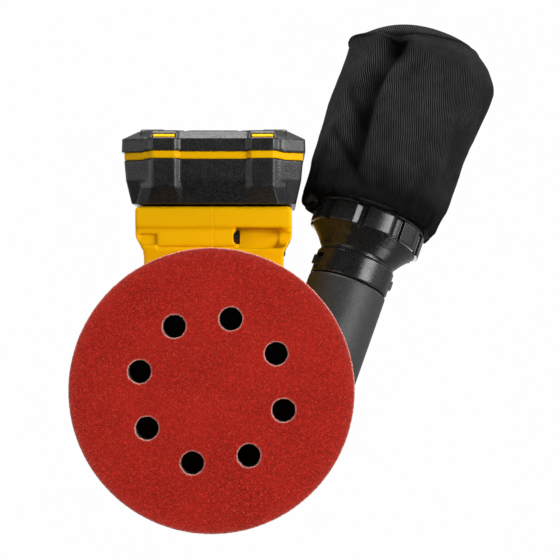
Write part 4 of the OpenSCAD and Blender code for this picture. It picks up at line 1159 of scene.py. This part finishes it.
for look, names in NODE_LOOKS.items():
    for name in names.split():
        obj = NODES[name]
        for material_slot in obj.material_slots:
            material_slot.material = MATS[look]
        if not obj.material_slots:
            obj.data.materials.append(MATS[look])
for width, names in BEVELS.items():
    for name in names.split():
        soften(NODES[name], width)

# ---- the studio


CENTRE = Vector((-0.03, 0.045, 0.06))


def area_light(name, at, size, watts):
    """A rectangular lamp that faces the tool."""
    light = bpy.data.lights.new(name, "AREA")
    light.shape = "RECTANGLE"
    light.size, light.size_y = size
    light.energy = watts
    lamp = new_object(name, light)
    lamp.location = at
    lamp.rotation_euler = (CENTRE - Vector(at)).to_track_quat("-Z", "Y").to_euler()


area_light("key_right", (-1.0, 0.30, -0.80), (0.42, 0.9), 22)
area_light("fill_left", (0.85, 0.25, -0.95), (0.8, 0.8), 5.5)
area_light("fill_low", (-0.80, -1.00, -0.42), (0.7, 0.5), 7.5)
area_light("rim_high", (-0.05, 1.35, 0.02), (1.3, 0.5), 34)
area_light("rim_right", (-1.35, 0.15, 0.04), (0.4, 0.9), 2.5)
area_light("rim_left", (1.35, 0.15, 0.04), (0.4, 0.9), 4)
area_light("top_soft", (0.4, -0.7, 1.3), (1.2, 1.2), 14)


def studio_world():
    """White to the camera. What lights the tool is dim below and grows to half strength above."""
    w = Nodes("studio", "worlds")
    w.tree.nodes.clear()
    height = w.add("SeparateXYZ", "Z", w.add("TexCoord", "Generated"))
    sky = w.remap(height, -0.25, 0.15, 0.03, 0.5, interpolation_type="SMOOTHSTEP")
    lit = w.add("Background", 0, Color=(1, 1, 1), Strength=sky)
    seen = w.add("Background", 0, Color=(0.99, 0.99, 0.99), Strength=1.0)
    mix = w.add("MixShader", 0, w.add("LightPath", "Is Camera Ray"), lit, seen)
    w.feed(w.tree.nodes.new("ShaderNodeOutputWorld").inputs["Surface"], mix)
    bpy.context.scene.world = w.owner


studio_world()

FLOOR_HALF, FLOOR_Z = 60000, -2500
corners = [(i * FLOOR_HALF, j * FLOOR_HALF, FLOOR_Z) for i, j in ((-1, -1), (1, -1), (1, 1), (-1, 1))]
floor = mesh_object("floor", corners, [(0, 1, 2, 3)], smooth=False)
floor_mat = Nodes("pale_floor")
tone = floor_mat.noise(floor_mat.coords(), 900, 2)
tone = floor_mat.blend(tone, (0.84, 0.84, 0.84), (0.87, 0.87, 0.87))
floor.data.materials.append(
    floor_mat.out(tone, 0.7, Emission_Color=(1, 1, 1), Emission_Strength=0.42)
)
floor.visible_diffuse = floor.visible_glossy = False

bpy.context.scene.view_settings.view_transform = "Standard"

# the photo looks straight up at the tool from 1 m below
lens = bpy.data.cameras.new("camera")
lens.lens = 147.6
lens.sensor_width = 36
lens.clip_start = 0.01
lens.clip_end = 20
camera = new_object("camera", lens)
camera.location = (-0.02983, 0.04715, -1.0)
camera.rotation_euler = Euler((0, math.pi, 0))
bpy.context.scene.camera = camera
